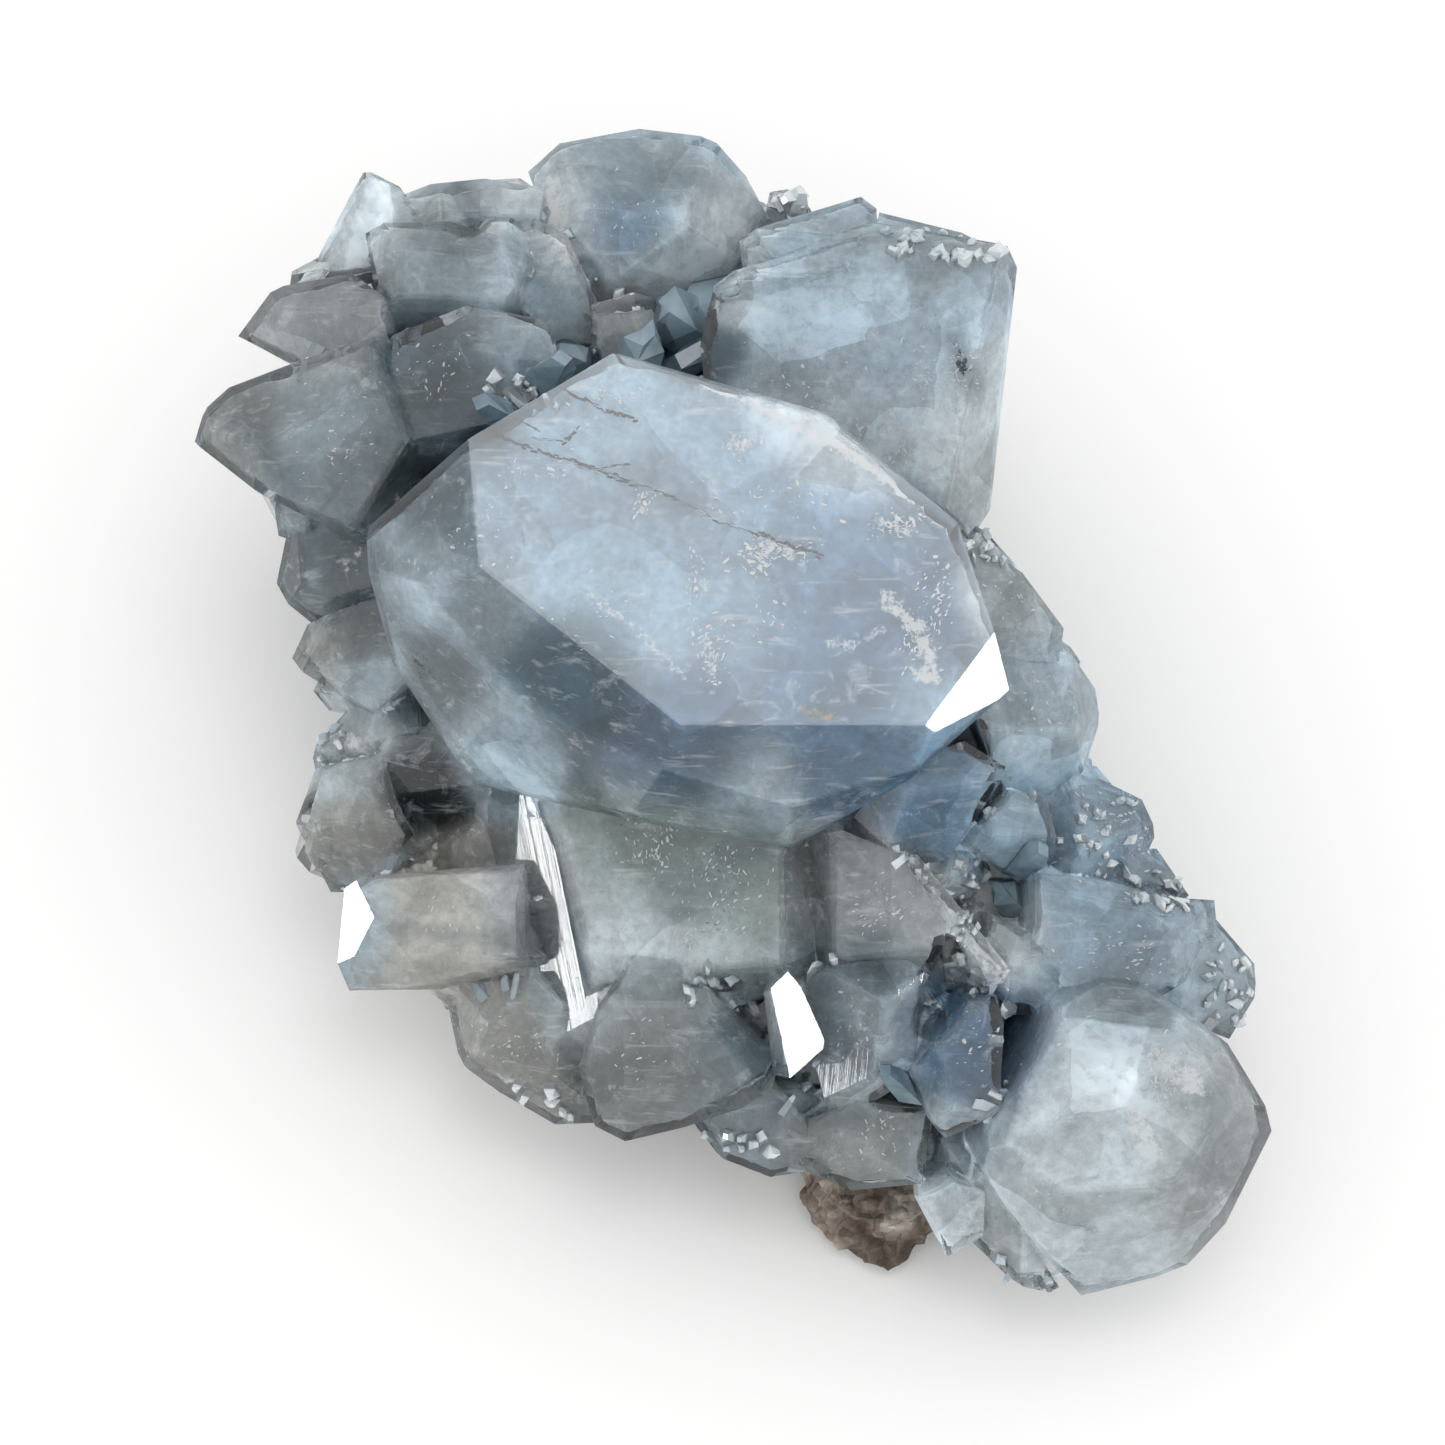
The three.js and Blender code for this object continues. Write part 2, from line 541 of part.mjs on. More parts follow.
// Places where small crystals fill the face between the chief ones: across, up, out, size. They
// point out of the face and lean at random.
const FILL_LEAN = 0.45;
const FACE_FILL = [
  [-22, 33, 21, 5], [-15.4, 32, 25, 3.6], [-27, 24, 24, 4], [-25, 17.4, 24, 4], [-21, 17, 25, 4],
  [-28.6, 17, 22, 4], [-24, -20, 20, 3], [-17.5, -19.4, 23, 3.6], [-15.6, -14.4, 25, 3.4],
  [-23.6, -7.4, 22, 4], [-27.4, -9.4, 20, 3.2], [-11.6, -23.6, 23, 3.4], [-6.2, -17, 27, 2.6],
  [1.6, -18.9, 28, 2], [4.4, -26, 25, 3],
  [8, -28.2, 25, 2.6], [15.8, -29.6, 25, 3.2], [14.8, -18.4, 27, 2.8], [17.8, -17, 28, 2.4],
  [17.4, -10.4, 28, 3], [14.2, -9.4, 28, 2.6], [24.4, -11.4, 25, 2.8], [27.4, -10.4, 24, 2.6],
  [29.8, -12.6, 25, 2.4], [33.8, -18.6, 24, 3], [35.6, -20.4, 22, 2.8], [24.6, -3, 24, 3],
  [27, -5.6, 22, 2.6], [22.8, 4.6, 26, 2.6], [18.6, 8.6, 27, 2.6], [22.4, 10, 25, 2.6],
  [14.6, 33, 22, 2.4], [17.6, 32, 22, 2.4], [12.4, 33.6, 21, 2.4], [9, 35, 20, 2.4],
  [4.8, 35, 17, 2.8], [-3.4, 40.6, 17, 2.6], [-15.6, 37.6, 18, 2.8], [-20.6, 36.8, 19, 2.4],
  [-29.6, 30.6, 20, 2.8], [-33.2, 25.2, 20, 3],
];

// Rows of small crystals round the sides, from the face down to the matrix. Each row has a depth
// below the rim of the face, an inset from the outline, a crystal size, a tilt towards the face,
// the place of the outline it starts at, and how many places it steps at a time.
const RIM_OUT = 24;
const RIM_FALL = 0.1;
const SIDE_WANDER = 0.35;
const SIDE_DEPTH_WANDER = 3;
const SIDE_SIZES = [0.85, 1.25];
const SIDE_OUTLINE = [
  [-36, 19], [-31, 27], [-26, 35], [-17, 38], [-8, 40.6], [1, 39], [10, 34.4], [17.6, 31.4],
  [17.2, 22.6], [17, 13.6], [22.4, 7], [25.2, -1], [28.6, -9], [35, -16], [34, -34], [27, -39],
  [17, -37], [8, -34], [-3, -29], [-14, -25], [-22, -18], [-27.4, -11], [-28, -2], [-29, 6],
  [-31, 13],
];
const SIDE_ROWS = [
  { down: 9, inset: 9, size: 4.2, tilt: 0.35, start: 0, step: 1 },
  { down: 17, inset: 10.6, size: 4.8, tilt: 0, start: 1, step: 2 },
  { down: 24.5, inset: 11.4, size: 3.8, tilt: -0.15, start: 0, step: 2 },
];

// The rock's lumps in the lying position: middle across, middle back, radius, height, rise of foot.
// Those whose foot doesn't rise carry the cluster on their broken flat undersides.
const ROCK_LUMPS = [
  [-13, 20, 12, 8, 0], [4, 20, 11.5, 8, 0.9], [4, 8, 13, 9, 0], [-14, 5, 13, 8, 1.1],
  [2, -8, 14, 8, 0], [14, -16, 12, 6.5, 0.8], [-7, -14, 10, 6.5, 0], [22, -27, 10.5, 5.5, 0],
  [9, -29, 9, 5.5, 0.7], [11.4, -38, 6.4, 5.4, 1],
];
const ROCK_SIDES = 8;
const ROCK_WANDER = 0.7;
const ROCK_REACH = [0.85, 1.1];
const ROCK_LEAN = [0.2, 0.7];
const ROCK_TOP_TILT = [-0.1, 0.1];
const ROCK_FOOT_SHARE = 0.82;
const ROCK_UNDERCUT = -1.3;

// The vault that the rock fills: its sides, half widths at the rim, slope and outer edge
const VAULT_SIDES = 7;
const VAULT_TURN = 0.4;
const VAULT_REACH = new THREE.Vector3(34, 42, 0);
const VAULT_MIDDLE = new THREE.Vector3(2, -2, 0);
const VAULT_RISE = 0.2;
const VAULT_EDGE = 90;

const FILL_SEED = 5;
const SIDE_SEED = 23;
const ROCK_SEED = 11;

function level(angle) {
  return new THREE.Vector3(Math.cos(angle), Math.sin(angle), 0);
}

function rockLump([across, back, radius, height, foot], grown, random) {
  const pick = ([low, high]) => low + (high - low) * random();
  const middle = new THREE.Vector3(across, back, 0);
  const planes = [];
  for (let side = 0; side < ROCK_SIDES; side += 1) {
    const outward = level(((side + ROCK_WANDER * random()) / ROCK_SIDES) * Math.PI * 2);
    const reach = radius * pick(ROCK_REACH);
    const wall = outward.clone().multiplyScalar(reach).add(middle);
    const toe = outward.clone().multiplyScalar(reach * ROCK_FOOT_SHARE).add(middle).setZ(foot);
    planes.push(facePlane(outward.clone().setZ(pick(ROCK_LEAN)), wall));
    planes.push(facePlane(outward.clone().setZ(ROCK_UNDERCUT), toe));
  }
  const top = new THREE.Vector3(pick(ROCK_TOP_TILT), pick(ROCK_TOP_TILT), 1);
  planes.push(facePlane(top, middle.clone().setZ(height)));
  planes.push(facePlane(new THREE.Vector3(0, 0, -1), middle.clone().setZ(foot)));
  planes.forEach((plane) => {
    plane.distance += grown;
  });
  return toManifold(new ConvexGeometry(cornersOf(planes)));
}

function rock(grown) {
  const random = stream(ROCK_SEED);
  return joinAll(ROCK_LUMPS.map((lump) => rockLump(lump, grown, random)));
}

// The vault under the crystals where the rock carries them: low at the rim, higher in the middle
function underBreak() {
  const planes = [];
  for (let side = 0; side < VAULT_SIDES; side += 1) {
    const outward = level(((side + VAULT_TURN) / VAULT_SIDES) * Math.PI * 2);
    const rim = outward.clone().multiply(VAULT_REACH).add(VAULT_MIDDLE).setZ(LOWEST_CRYSTAL);
    planes.push(facePlane(outward.clone().multiplyScalar(VAULT_RISE).setZ(1), rim));
    planes.push(facePlane(outward, outward.clone().multiplyScalar(VAULT_EDGE)));
  }
  planes.push(facePlane(new THREE.Vector3(0, 0, -1), new THREE.Vector3(0, 0, -VAULT_EDGE)));
  return toManifold(new ConvexGeometry(cornersOf(planes)));
}

function joinAll(solids) {
  return solids.reduce((joined, solid) => joined.add(solid));
}

function faceFill() {
  const random = stream(FILL_SEED);
  const lean = () => FILL_LEAN * (2 * random() - 1);
  return FACE_FILL.map(([across, up, out, size]) => {
    const foot = new THREE.Vector3(across, up, out - size);
    return smallCrystal(foot, new THREE.Vector3(lean(), lean(), 1), size, random);
  });
}

function sideRows() {
  const random = stream(SIDE_SEED);
  const wander = () => SIDE_WANDER * (2 * random() - 1);
  const restSlope = Math.tan(THREE.MathUtils.degToRad(LEAN_DEG));
  const crystals = [];
  SIDE_ROWS.forEach(({ down, inset, size, tilt, start, step }) => {
    for (let place = start; place < SIDE_OUTLINE.length; place += step) {
      const [across, up] = SIDE_OUTLINE[place];
      const outward = new THREE.Vector3(across, up, 0).normalize();
      const grown = size * THREE.MathUtils.lerp(...SIDE_SIZES, random());
      const aim = outward.clone().add(new THREE.Vector3(wander(), wander(), tilt));
      const out = RIM_OUT - RIM_FALL * up - down + SIDE_DEPTH_WANDER * random();
      const restOut = LOWEST_CRYSTAL - up * restSlope;
      const foot = new THREE.Vector3(across, up, out).addScaledVector(outward, -inset);
      if (out > restOut + size) crystals.push(smallCrystal(foot, aim, grown, random));
    }
  });
  return crystals;
}

const chiefs = [
  MAIN,
  CROWN,
  TABLET,
  LOWER_RIGHT,
  ...BLADES,
  ...RIGHT_SIDE,
  ...LOWER_CENTRE,
  ...LEFT_SIDE,
  ...UPPER_LEFT,
  ...GROUND_MASS,
].map(chiefCrystal);
const crystalSolid = joinAll([...chiefs, ...faceFill(), ...sideRows()])
  .subtract(underBreak())
  .subtract(rock(SEAM_GAP));

const crystals = new THREE.Mesh(
  toGeometry(crystalSolid),
  new THREE.MeshStandardMaterial({ color: '#a9bfd0', roughness: 0.08, metalness: 0 }),
);
crystals.name = 'celestite_crystals';

const matrix = new THREE.Mesh(
  toGeometry(rock(0)),
  new THREE.MeshStandardMaterial({ color: '#b3aaa0', roughness: 0.9, metalness: 0 }),
);
matrix.name = 'matrix';

// The cluster stands with the middle of its box over the origin
const cluster = new THREE.Group();
cluster.add(crystals, matrix);
const middle = new THREE.Box3().setFromObject(cluster, true).getCenter(new THREE.Vector3());
cluster.position.set(-middle.x, -middle.y, 0);

export default cluster;
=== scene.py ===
# Celestite crystal cluster, laid on its matrix with the crystal face up and seen squarely from the
# front of that face. Everything is in metres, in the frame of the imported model.
import math
import random

import bmesh
import bpy
from mathutils import Matrix, Vector, noise
from mathutils.bvhtree import BVHTree


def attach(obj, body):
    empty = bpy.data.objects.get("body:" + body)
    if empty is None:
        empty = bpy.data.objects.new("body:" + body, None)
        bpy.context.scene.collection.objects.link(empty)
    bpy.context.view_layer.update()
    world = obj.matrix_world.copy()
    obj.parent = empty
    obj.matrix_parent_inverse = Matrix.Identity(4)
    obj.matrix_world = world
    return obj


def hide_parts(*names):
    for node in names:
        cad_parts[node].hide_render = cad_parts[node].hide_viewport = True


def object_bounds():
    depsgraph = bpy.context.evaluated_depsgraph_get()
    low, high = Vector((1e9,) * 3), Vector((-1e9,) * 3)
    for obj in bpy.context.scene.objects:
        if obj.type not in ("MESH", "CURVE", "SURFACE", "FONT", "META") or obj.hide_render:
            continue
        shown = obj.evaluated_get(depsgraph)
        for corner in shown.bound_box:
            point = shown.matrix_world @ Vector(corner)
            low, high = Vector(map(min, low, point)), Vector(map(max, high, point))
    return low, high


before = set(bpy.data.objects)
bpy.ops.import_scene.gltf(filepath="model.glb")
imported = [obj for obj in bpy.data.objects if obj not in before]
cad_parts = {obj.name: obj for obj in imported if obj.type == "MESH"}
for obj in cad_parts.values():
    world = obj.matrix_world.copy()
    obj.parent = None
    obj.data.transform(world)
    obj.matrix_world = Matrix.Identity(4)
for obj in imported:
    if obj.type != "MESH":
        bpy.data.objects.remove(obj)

cad_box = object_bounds()
scene = bpy.context.scene
MM = 0.001

# Camera. The cluster leans back when it lies down, so the camera looks down on it, square to the
# crystal face. Places on the face are given across, up and out towards the eye, in mm.
LEAN = math.radians(23)
FACE_MIDDLE = Vector((-0.5792, 6.6105, 0)) * MM
EYE_OUT = 585
AIM_OUT = 25
VIEW_WIDTH = 103.2


def on_face(across, up, out):
    turned = Matrix.Rotation(LEAN, 3, "X") @ Vector((across, up, out))
    return turned * MM + FACE_MIDDLE


def squarely(point):
    """Where a point is seen on the crystal face: across and up, in mm."""
    turned = Matrix.Rotation(-LEAN, 3, "X") @ ((point - FACE_MIDDLE) / MM)
    return turned.x, turned.y


def look_from(thing, place, target):
    thing.location = place
    thing.rotation_euler = (target - place).to_track_quat("-Z", "Y").to_euler()
    scene.collection.objects.link(thing)


camera = bpy.data.objects.new("camera", bpy.data.cameras.new("camera"))
camera.data.sensor_width = 36
camera.data.lens = camera.data.sensor_width * (EYE_OUT - AIM_OUT) / VIEW_WIDTH
camera.data.clip_start = 0.01
look_from(camera, on_face(0, 0, EYE_OUT), on_face(0, 0, AIM_OUT))
scene.camera = camera


# Celestite crystals. Strontium sulfate grown from brine in a hollow of limestone: clear, pale blue,
# with flat faces that meet in sharp edges. Some faces carry strong growth lines, all carry faint ones.
BODY_DEPTH_OF_BLUE = 22
SKIN_IOR = 1.62
SKIN_BLUE = "#9fc4dd"
SAME_POINT = 0.002 * MM
SAME_PLANE = math.radians(0.6)
LINE_SIZE = 0.45
SWELL_SIZE = 22
WORN_SIZE = 3
FAINT_LINES = 0.1
STRONG_LINES = 0.45
LINE_RELIEF = 0.1
WORN_RANGE = (0.5, 0.75)
SKIN_ROUGHNESS = (0.01, 0.06)
STRIATED_PLACES = [
    (-21, 13, 3.5), (-24, 8.5, 2.5), (-11.6, -14, 3), (-29.4, 19.7, 3.5), (16, -35, 3), (-22, -17, 2.5),
    (22.3, 10.4, 2.5), (28, -19.6, 2), (9, -9.5, 2.5), (-17, -24, 3), (5, -26, 2), (-14, -12, 2.5),
]


def linear(colour):
    """A colour given as sRGB hex, as the linear numbers that a shader takes."""
    parts = [int(colour[at:at + 2], 16) / 255 for at in (1, 3, 5)]
    return [p / 12.92 if p <= 0.04045 else ((p + 0.055) / 1.055) ** 2.4 for p in parts] + [1]


def add_node(tree, kind, links=None, **settings):
    """Adds a node, sets its properties, and sets or links the inputs named in links."""
    node = tree.nodes.new(kind)
    for name, value in settings.items():
        setattr(node, name, value)
    for name, value in (links or {}).items():
        if isinstance(value, bpy.types.NodeSocket):
            tree.links.new(value, node.inputs[name])
        else:
            node.inputs[name].default_value = value
    return node


def new_material(name):
    material = bpy.data.materials.new(name)
    material.use_nodes = True
    tree = material.node_tree
    tree.nodes.clear()
    return material, tree, add_node(tree, "ShaderNodeOutputMaterial")


def new_object(name, mesh, material):
    thing = bpy.data.objects.new(name, mesh)
    mesh.materials.clear()
    mesh.materials.append(material)
    scene.collection.objects.link(thing)
    return thing


def repeats(size):
    """How often a pattern whose parts are that many mm wide comes in a metre."""
    return 1 / (size * MM)


def clear_celestite():
    """Clear celestite, as grown. The eye gets a glassy shine, growth lines and a pale blue depth.

    Real growth lines are too fine to show in the render, so they are drawn coarser.
    """
    material, tree, output = new_material("clear_celestite")
    place = add_node(tree, "ShaderNodeTexCoord").outputs["Object"]
    across = add_node(tree, "ShaderNodeAttribute", attribute_name="across_lines").outputs["Vector"]
    way = add_node(tree, "ShaderNodeVectorMath", {0: across}, operation="NORMALIZE").outputs["Vector"]
    step = add_node(tree, "ShaderNodeVectorMath", {0: place, 1: way}, operation="DOT_PRODUCT")
    lines = add_node(tree, "ShaderNodeTexNoise", {
        "W": step.outputs["Value"], "Scale": repeats(LINE_SIZE), "Detail": 3, "Roughness": 0.7,
    }, noise_dimensions="1D")
    strength = add_node(tree, "ShaderNodeVectorMath", {0: across}, operation="LENGTH").outputs["Value"]
    swells = add_node(tree, "ShaderNodeTexNoise", {
        "Vector": place, "Scale": repeats(SWELL_SIZE), "Detail": 1,
    })
    relief = add_node(tree, "ShaderNodeMath", {
        0: lines.outputs["Fac"], 1: strength, 2: swells.outputs["Fac"],
    }, operation="MULTIPLY_ADD")
    bump = add_node(tree, "ShaderNodeBump", {
        "Strength": 0.5, "Distance": LINE_RELIEF * MM, "Height": relief.outputs["Value"],
    })
    patches = add_node(tree, "ShaderNodeTexNoise", {
        "Vector": place, "Scale": repeats(WORN_SIZE), "Detail": 4,
    })
    worn = add_node(tree, "ShaderNodeMapRange", {
        "Value": patches.outputs["Fac"], "From Min": WORN_RANGE[0], "From Max": WORN_RANGE[1],
        "To Min": SKIN_ROUGHNESS[0], "To Max": SKIN_ROUGHNESS[1],
    })
    shader = add_node(tree, "ShaderNodeBsdfPrincipled", {
        "Base Color": linear("#fafdff"),
        "Roughness": worn.outputs["Result"],
        "IOR": SKIN_IOR,
        "Transmission Weight": 1,
        "Normal": bump.outputs["Normal"],
    })
    depth = add_node(tree, "ShaderNodeVolumeAbsorption", {
        "Color": linear(SKIN_BLUE), "Density": BODY_DEPTH_OF_BLUE,
    })
    tree.links.new(shader.outputs["BSDF"], output.inputs["Surface"])
    tree.links.new(depth.outputs["Volume"], output.inputs["Volume"])
    return material


def flat_faced_copy(node):
    """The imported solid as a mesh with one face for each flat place."""
    bm = bmesh.new()
    bm.from_mesh(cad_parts[node].data)
    bmesh.ops.remove_doubles(bm, verts=bm.verts, dist=SAME_POINT)
    bmesh.ops.dissolve_limit(
        bm, angle_limit=SAME_PLANE, verts=bm.verts, edges=bm.edges, use_dissolve_boundaries=False,
    )
    for face in bm.faces:
        face.smooth = False
    return bm


def to_mesh(bm, name):
    mesh = bpy.data.meshes.new(name)
    bm.to_mesh(mesh)
    bm.free()
    return mesh


def across_lines(face):
    """The way across a face's growth lines, which run along its longest edge, as long as they are strong."""
    edge = max(face.edges, key=lambda side: side.calc_length())
    along = edge.verts[1].co - edge.verts[0].co
    x, y = squarely(face.calc_center_median())
    strong = any(math.hypot(x - px, y - py) < reach for px, py, reach in STRIATED_PLACES)
    return face.normal.cross(along).normalized() * (STRONG_LINES if strong else FAINT_LINES)


skin = flat_faced_copy("celestite_crystals")
lines_of_faces = [across_lines(face) for face in skin.faces]
skin_mesh = to_mesh(skin, "crystals")
across_each = skin_mesh.attributes.new("across_lines", "FLOAT_VECTOR", "FACE")
for record, way in zip(across_each.data, lines_of_faces):
    record.vector = way
crystals = new_object("crystals", skin_mesh, clear_celestite())
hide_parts("celestite_crystals")
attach(crystals, "root")


# Druse: the last, smallest crystals, which crowd the seams between the large ones and crust parts of
# the rim. Each is a tapered prism with a roof-shaped end, rooted in the crystal that it grew on.
DRUSE_SEED = 41
DRUSE_TRIES = 2600
DRUSE_SHAPES = 6
DRUSE_ROOT = 0.4
DRUSE_TO_EYE = 0.35
DRUSE_TILT = 0.6
DRUSE_WIDTH = (0.7, 1.2)
DRUSE_DEPTH = (0.5, 1)
PRISM_RADII = (0.62, 0.5)
PRISM_HEIGHT = 1.2
PRISM_DROP = -0.15
ROOF_SHIFT = 0.1
ROOF_RISE = (0.2, 0.4)
RIDGE_WIDTH = (0.1, 0.5)
RIDGE_LENGTH = (0.5, 0.9)
PRISM_WIDTH = (0.7, 1.1)
PRISM_DEPTH = (0.45, 1)
SEAM_REACH = 3.0
SEAM_RAYS = 8
SEAM_FAN = 0.9
SEAM_SHARE = 0.7
SEAM_SIZES = (0.5, 1.4)
FOOT_LIFT = 0.05
LOWEST_FOOT = 1.5
FACE_OUTWARD = (on_face(0, 0, 1) - on_face(0, 0, 0)).normalized()
# Each swarm: its middle across and up, its half sizes, how many crystals, and their sizes in mm.
DRUSE_SWARMS = [
    (15.4, 34, 4.5, 1.0, 30, 0.7, 1.6), (4.9, 37.3, 1.2, 1, 8, 1, 2.2), (29, -8, 4, 3, 30, 0.5, 1.4),
    (31, -11.9, 2, 1.2, 14, 0.6, 1.5), (36, -19, 1.6, 3, 20, 0.6, 1.6), (19.9, 12.3, 2.6, 1, 22, 0.5, 1.2),
    (17.5, -39.4, 3, 1.2, 20, 0.8, 1.7), (0.2, -30.4, 3.3, 1.2, 14, 0.8, 1.8),
    (-14.4, -27.6, 4, 1.6, 14, 0.7, 1.6), (-28.6, -0.7, 1.6, 2, 8, 0.7, 1.6),
    (-13.7, 23.2, 3, 1.4, 16, 0.7, 1.6), (17.2, -13.7, 1.2, 4, 24, 0.5, 1.3),
    (-1, -18.6, 1.8, 1.4, 9, 0.6, 1.5),
]
# Each gap crystal: its place across and up, its size in mm, and its lean to the right and upward.
GAP_CRYSTALS = [
    (-2.3, 28, 5, -0.7, 0.5), (-4.1, 29.6, 4, 0.6, -0.3), (-0.9, 30.6, 4, -0.4, -0.8),
    (-3.0, 25.6, 4, 0.8, 0.5), (-10.6, 25.3, 4, -0.5, 0.6), (-8.9, 24.6, 3.5, 0.7, 0.3),
    (-6, 25.8, 4, 0.3, 0.8), (-12.6, 24.2, 3.5, 0.6, 0.7), (-15.4, 21.6, 3.5, -0.7, 0.4),
    (20.6, -12.7, 3, -0.5, 0.5), (21.6, -9.6, 2.6, 0.6, 0.3), (12.4, -25.4, 2.6, -0.5, 0.5),
]


def druse_shape(draw):
    """A small crystal of size 1, standing on its root at the origin."""
    bm = bmesh.new()
    shaft = bmesh.ops.create_cone(
        bm, cap_ends=True, segments=draw.choice((4, 4, 6)), radius1=PRISM_RADII[0],
        radius2=PRISM_RADII[1], depth=PRISM_HEIGHT,
    )["verts"]
    bmesh.ops.translate(bm, verts=shaft, vec=(0, 0, PRISM_DROP))
    top = max(bm.faces, key=lambda face: face.calc_center_median().z)
    grown = bmesh.ops.extrude_face_region(bm, geom=[top])["geom"]
    roof = [part for part in grown if isinstance(part, bmesh.types.BMVert)]
    bmesh.ops.delete(bm, geom=[top], context="FACES_ONLY")
    shift = draw.uniform(-ROOF_SHIFT, ROOF_SHIFT)
    bmesh.ops.translate(bm, verts=roof, vec=(0, shift, draw.uniform(*ROOF_RISE)))
    bmesh.ops.scale(bm, verts=roof, vec=(draw.uniform(*RIDGE_WIDTH), draw.uniform(*RIDGE_LENGTH), 1))
    bmesh.ops.scale(bm, verts=bm.verts, vec=(draw.uniform(*PRISM_WIDTH), draw.uniform(*PRISM_DEPTH), 1))
    bmesh.ops.recalc_face_normals(bm, faces=bm.faces)
    return to_mesh(bm, "druse_shape")


def any_way(draw):
    return Vector([draw.uniform(-1, 1) for _ in range(3)])


def under_skin(place, cover):
    """Whether a place lies at least cover mm inside the clear faces."""
    near, normal, _, _ = skin_tree.find_nearest(place)
    return (place - near).dot(normal) < -cover * MM


def lay_on(bm, shape, foot, normal, lengthwise, sizes, inside=False):
    """Adds a copy of a shape with its root at foot, its top along normal and its length as given."""
    up = normal.normalized()
    side = up.cross(lengthwise).normalized()
    pose = Matrix((side.cross(up), side, up)).transposed().to_4x4()
    copy = shape.copy()
    copy.transform(Matrix.Translation(foot) @ pose @ Matrix.Diagonal((*sizes, 1)))
    low, high = cad_box
    corners = [vertex.co for vertex in copy.vertices]
    in_box = all(low[axis] <= corner[axis] <= high[axis] for corner in corners for axis in range(3))
    if in_box and (not inside or all(under_skin(corner, 0) for corner in corners)):
        bm.from_mesh(copy)
    bpy.data.meshes.remove(copy)


def on_skin(across, up, depth=0):
    """The place depth mm under the clear face that is seen at a point of the crystal face, and its normal."""
    hit, normal, _, _ = skin_tree.ray_cast(on_face(across, up, 100), -FACE_OUTWARD)
    return (None, None) if hit is None else (hit - FACE_OUTWARD * depth * MM, normal)


SMALL_TONES = 5
SMALL_CLEARNESS = 0.3


def small_celestite(name, dark, light):
    """Small celestite crystals. The eye gets cloudy bodies of uneven tone under glossy faces."""
    material, tree, output = new_material(name)
    place = add_node(tree, "ShaderNodeTexCoord").outputs["Object"]
    tone = add_node(tree, "ShaderNodeTexNoise", {"Vector": place, "Scale": repeats(SMALL_TONES), "Detail": 4})
    ramp = add_node(tree, "ShaderNodeValToRGB", {"Fac": tone.outputs["Fac"]})
    ramp.color_ramp.elements[0].position = 0.35
    ramp.color_ramp.elements[0].color = linear(dark)
    ramp.color_ramp.elements[1].position = 0.65
    ramp.color_ramp.elements[1].color = linear(light)
    shader = add_node(tree, "ShaderNodeBsdfPrincipled", {
        "Base Color": ramp.outputs["Color"],
        "Roughness": 0.08,
        "IOR": SKIN_IOR,
        "Transmission Weight": SMALL_CLEARNESS,
    })
    tree.links.new(shader.outputs["BSDF"], output.inputs["Surface"])
    return material


def in_seam(place, normal, draw):
    """How closely other faces stand round a place, from 0 to 1."""
    hits = 0
    for _ in range(SEAM_RAYS):
        way = (normal + any_way(draw) * SEAM_FAN).normalized()
        hits += skin_tree.ray_cast(place + normal * FOOT_LIFT * MM, way, SEAM_REACH * MM)[0] is not None
    return hits / SEAM_RAYS


draw = random.Random(DRUSE_SEED)
shapes = [druse_shape(draw) for _ in range(DRUSE_SHAPES)]
flat = flat_faced_copy("celestite_crystals")
bmesh.ops.triangulate(flat, faces=flat.faces)
flat.faces.ensure_lookup_table()
skin_tree = BVHTree.FromBMesh(flat)
feet = []
for face in draw.choices(list(flat.faces), [face.calc_area() for face in flat.faces], k=DRUSE_TRIES):
    first, second, third = [corner.co for corner in face.verts]
    a, b = sorted((draw.random(), draw.random()))
    place = first * a + second * (b - a) + third * (1 - b)
    if place.z > LOWEST_FOOT * MM and in_seam(place, face.normal, draw) > SEAM_SHARE:
        feet.append((place, face.normal.copy(), draw.uniform(*SEAM_SIZES)))
flat.free()
for across, up, half_across, half_up, count, smallest, largest in DRUSE_SWARMS:
    for _ in range(count):
        foot, normal = on_skin(across + draw.uniform(-1, 1) * half_across, up + draw.uniform(-1, 1) * half_up)
        if foot is not None:
            feet.append((foot, normal, draw.uniform(smallest, largest)))
druse_bm = bmesh.new()
for foot, normal, size in feet:
    aim = normal + FACE_OUTWARD * DRUSE_TO_EYE + any_way(draw) * DRUSE_TILT
    sizes = [size * draw.uniform(*DRUSE_WIDTH) * MM, size * draw.uniform(*DRUSE_DEPTH) * MM, size * MM]
    lay_on(druse_bm, draw.choice(shapes), foot - normal * size * DRUSE_ROOT * MM, aim, any_way(draw), sizes)
druse = new_object(
    "druse", to_mesh(druse_bm, "druse"), small_celestite("milky_celestite_druse", "#b9cbd5", "#f4fafc"),
)

gap_bm = bmesh.new()
for across, up, size, right, upward in GAP_CRYSTALS:
    foot, normal = on_skin(across, up)
    if foot is not None:
        aim = Matrix.Rotation(LEAN, 3, "X") @ Vector((right, upward, 1))
        lay_on(gap_bm, draw.choice(shapes), foot, aim, any_way(draw), [size * MM] * 3)
# The gap crystals' dark tone is partly their own smoky colour and partly painted shade of the gap.
gap_crystals = new_object(
    "gap_crystals", to_mesh(gap_bm, "gap_crystals"),
    small_celestite("smoky_and_gap_shaded_celestite", "#5d7787", "#a9bfcb"),
)
for small in (druse, gap_crystals):
    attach(small, "root")
for shape in shapes:
    bpy.data.meshes.remove(shape)


# Milky growth inside the crystals. The early, fast growth took in brine and is cloudy, and the clear
# growth lies over it. Its tints run from blue at the tips to smoky and olive where it is impure.
CLOUD_DEPTH = 0.2
CLOUD_BAND = 2.5
CLOUD_VOXEL = 0.5
CLOUD_UNEVEN = 0.8
CLOUD_START = 0.2
BROAD_HEIGHT = 0.7
FINE_HEIGHT = 0.3
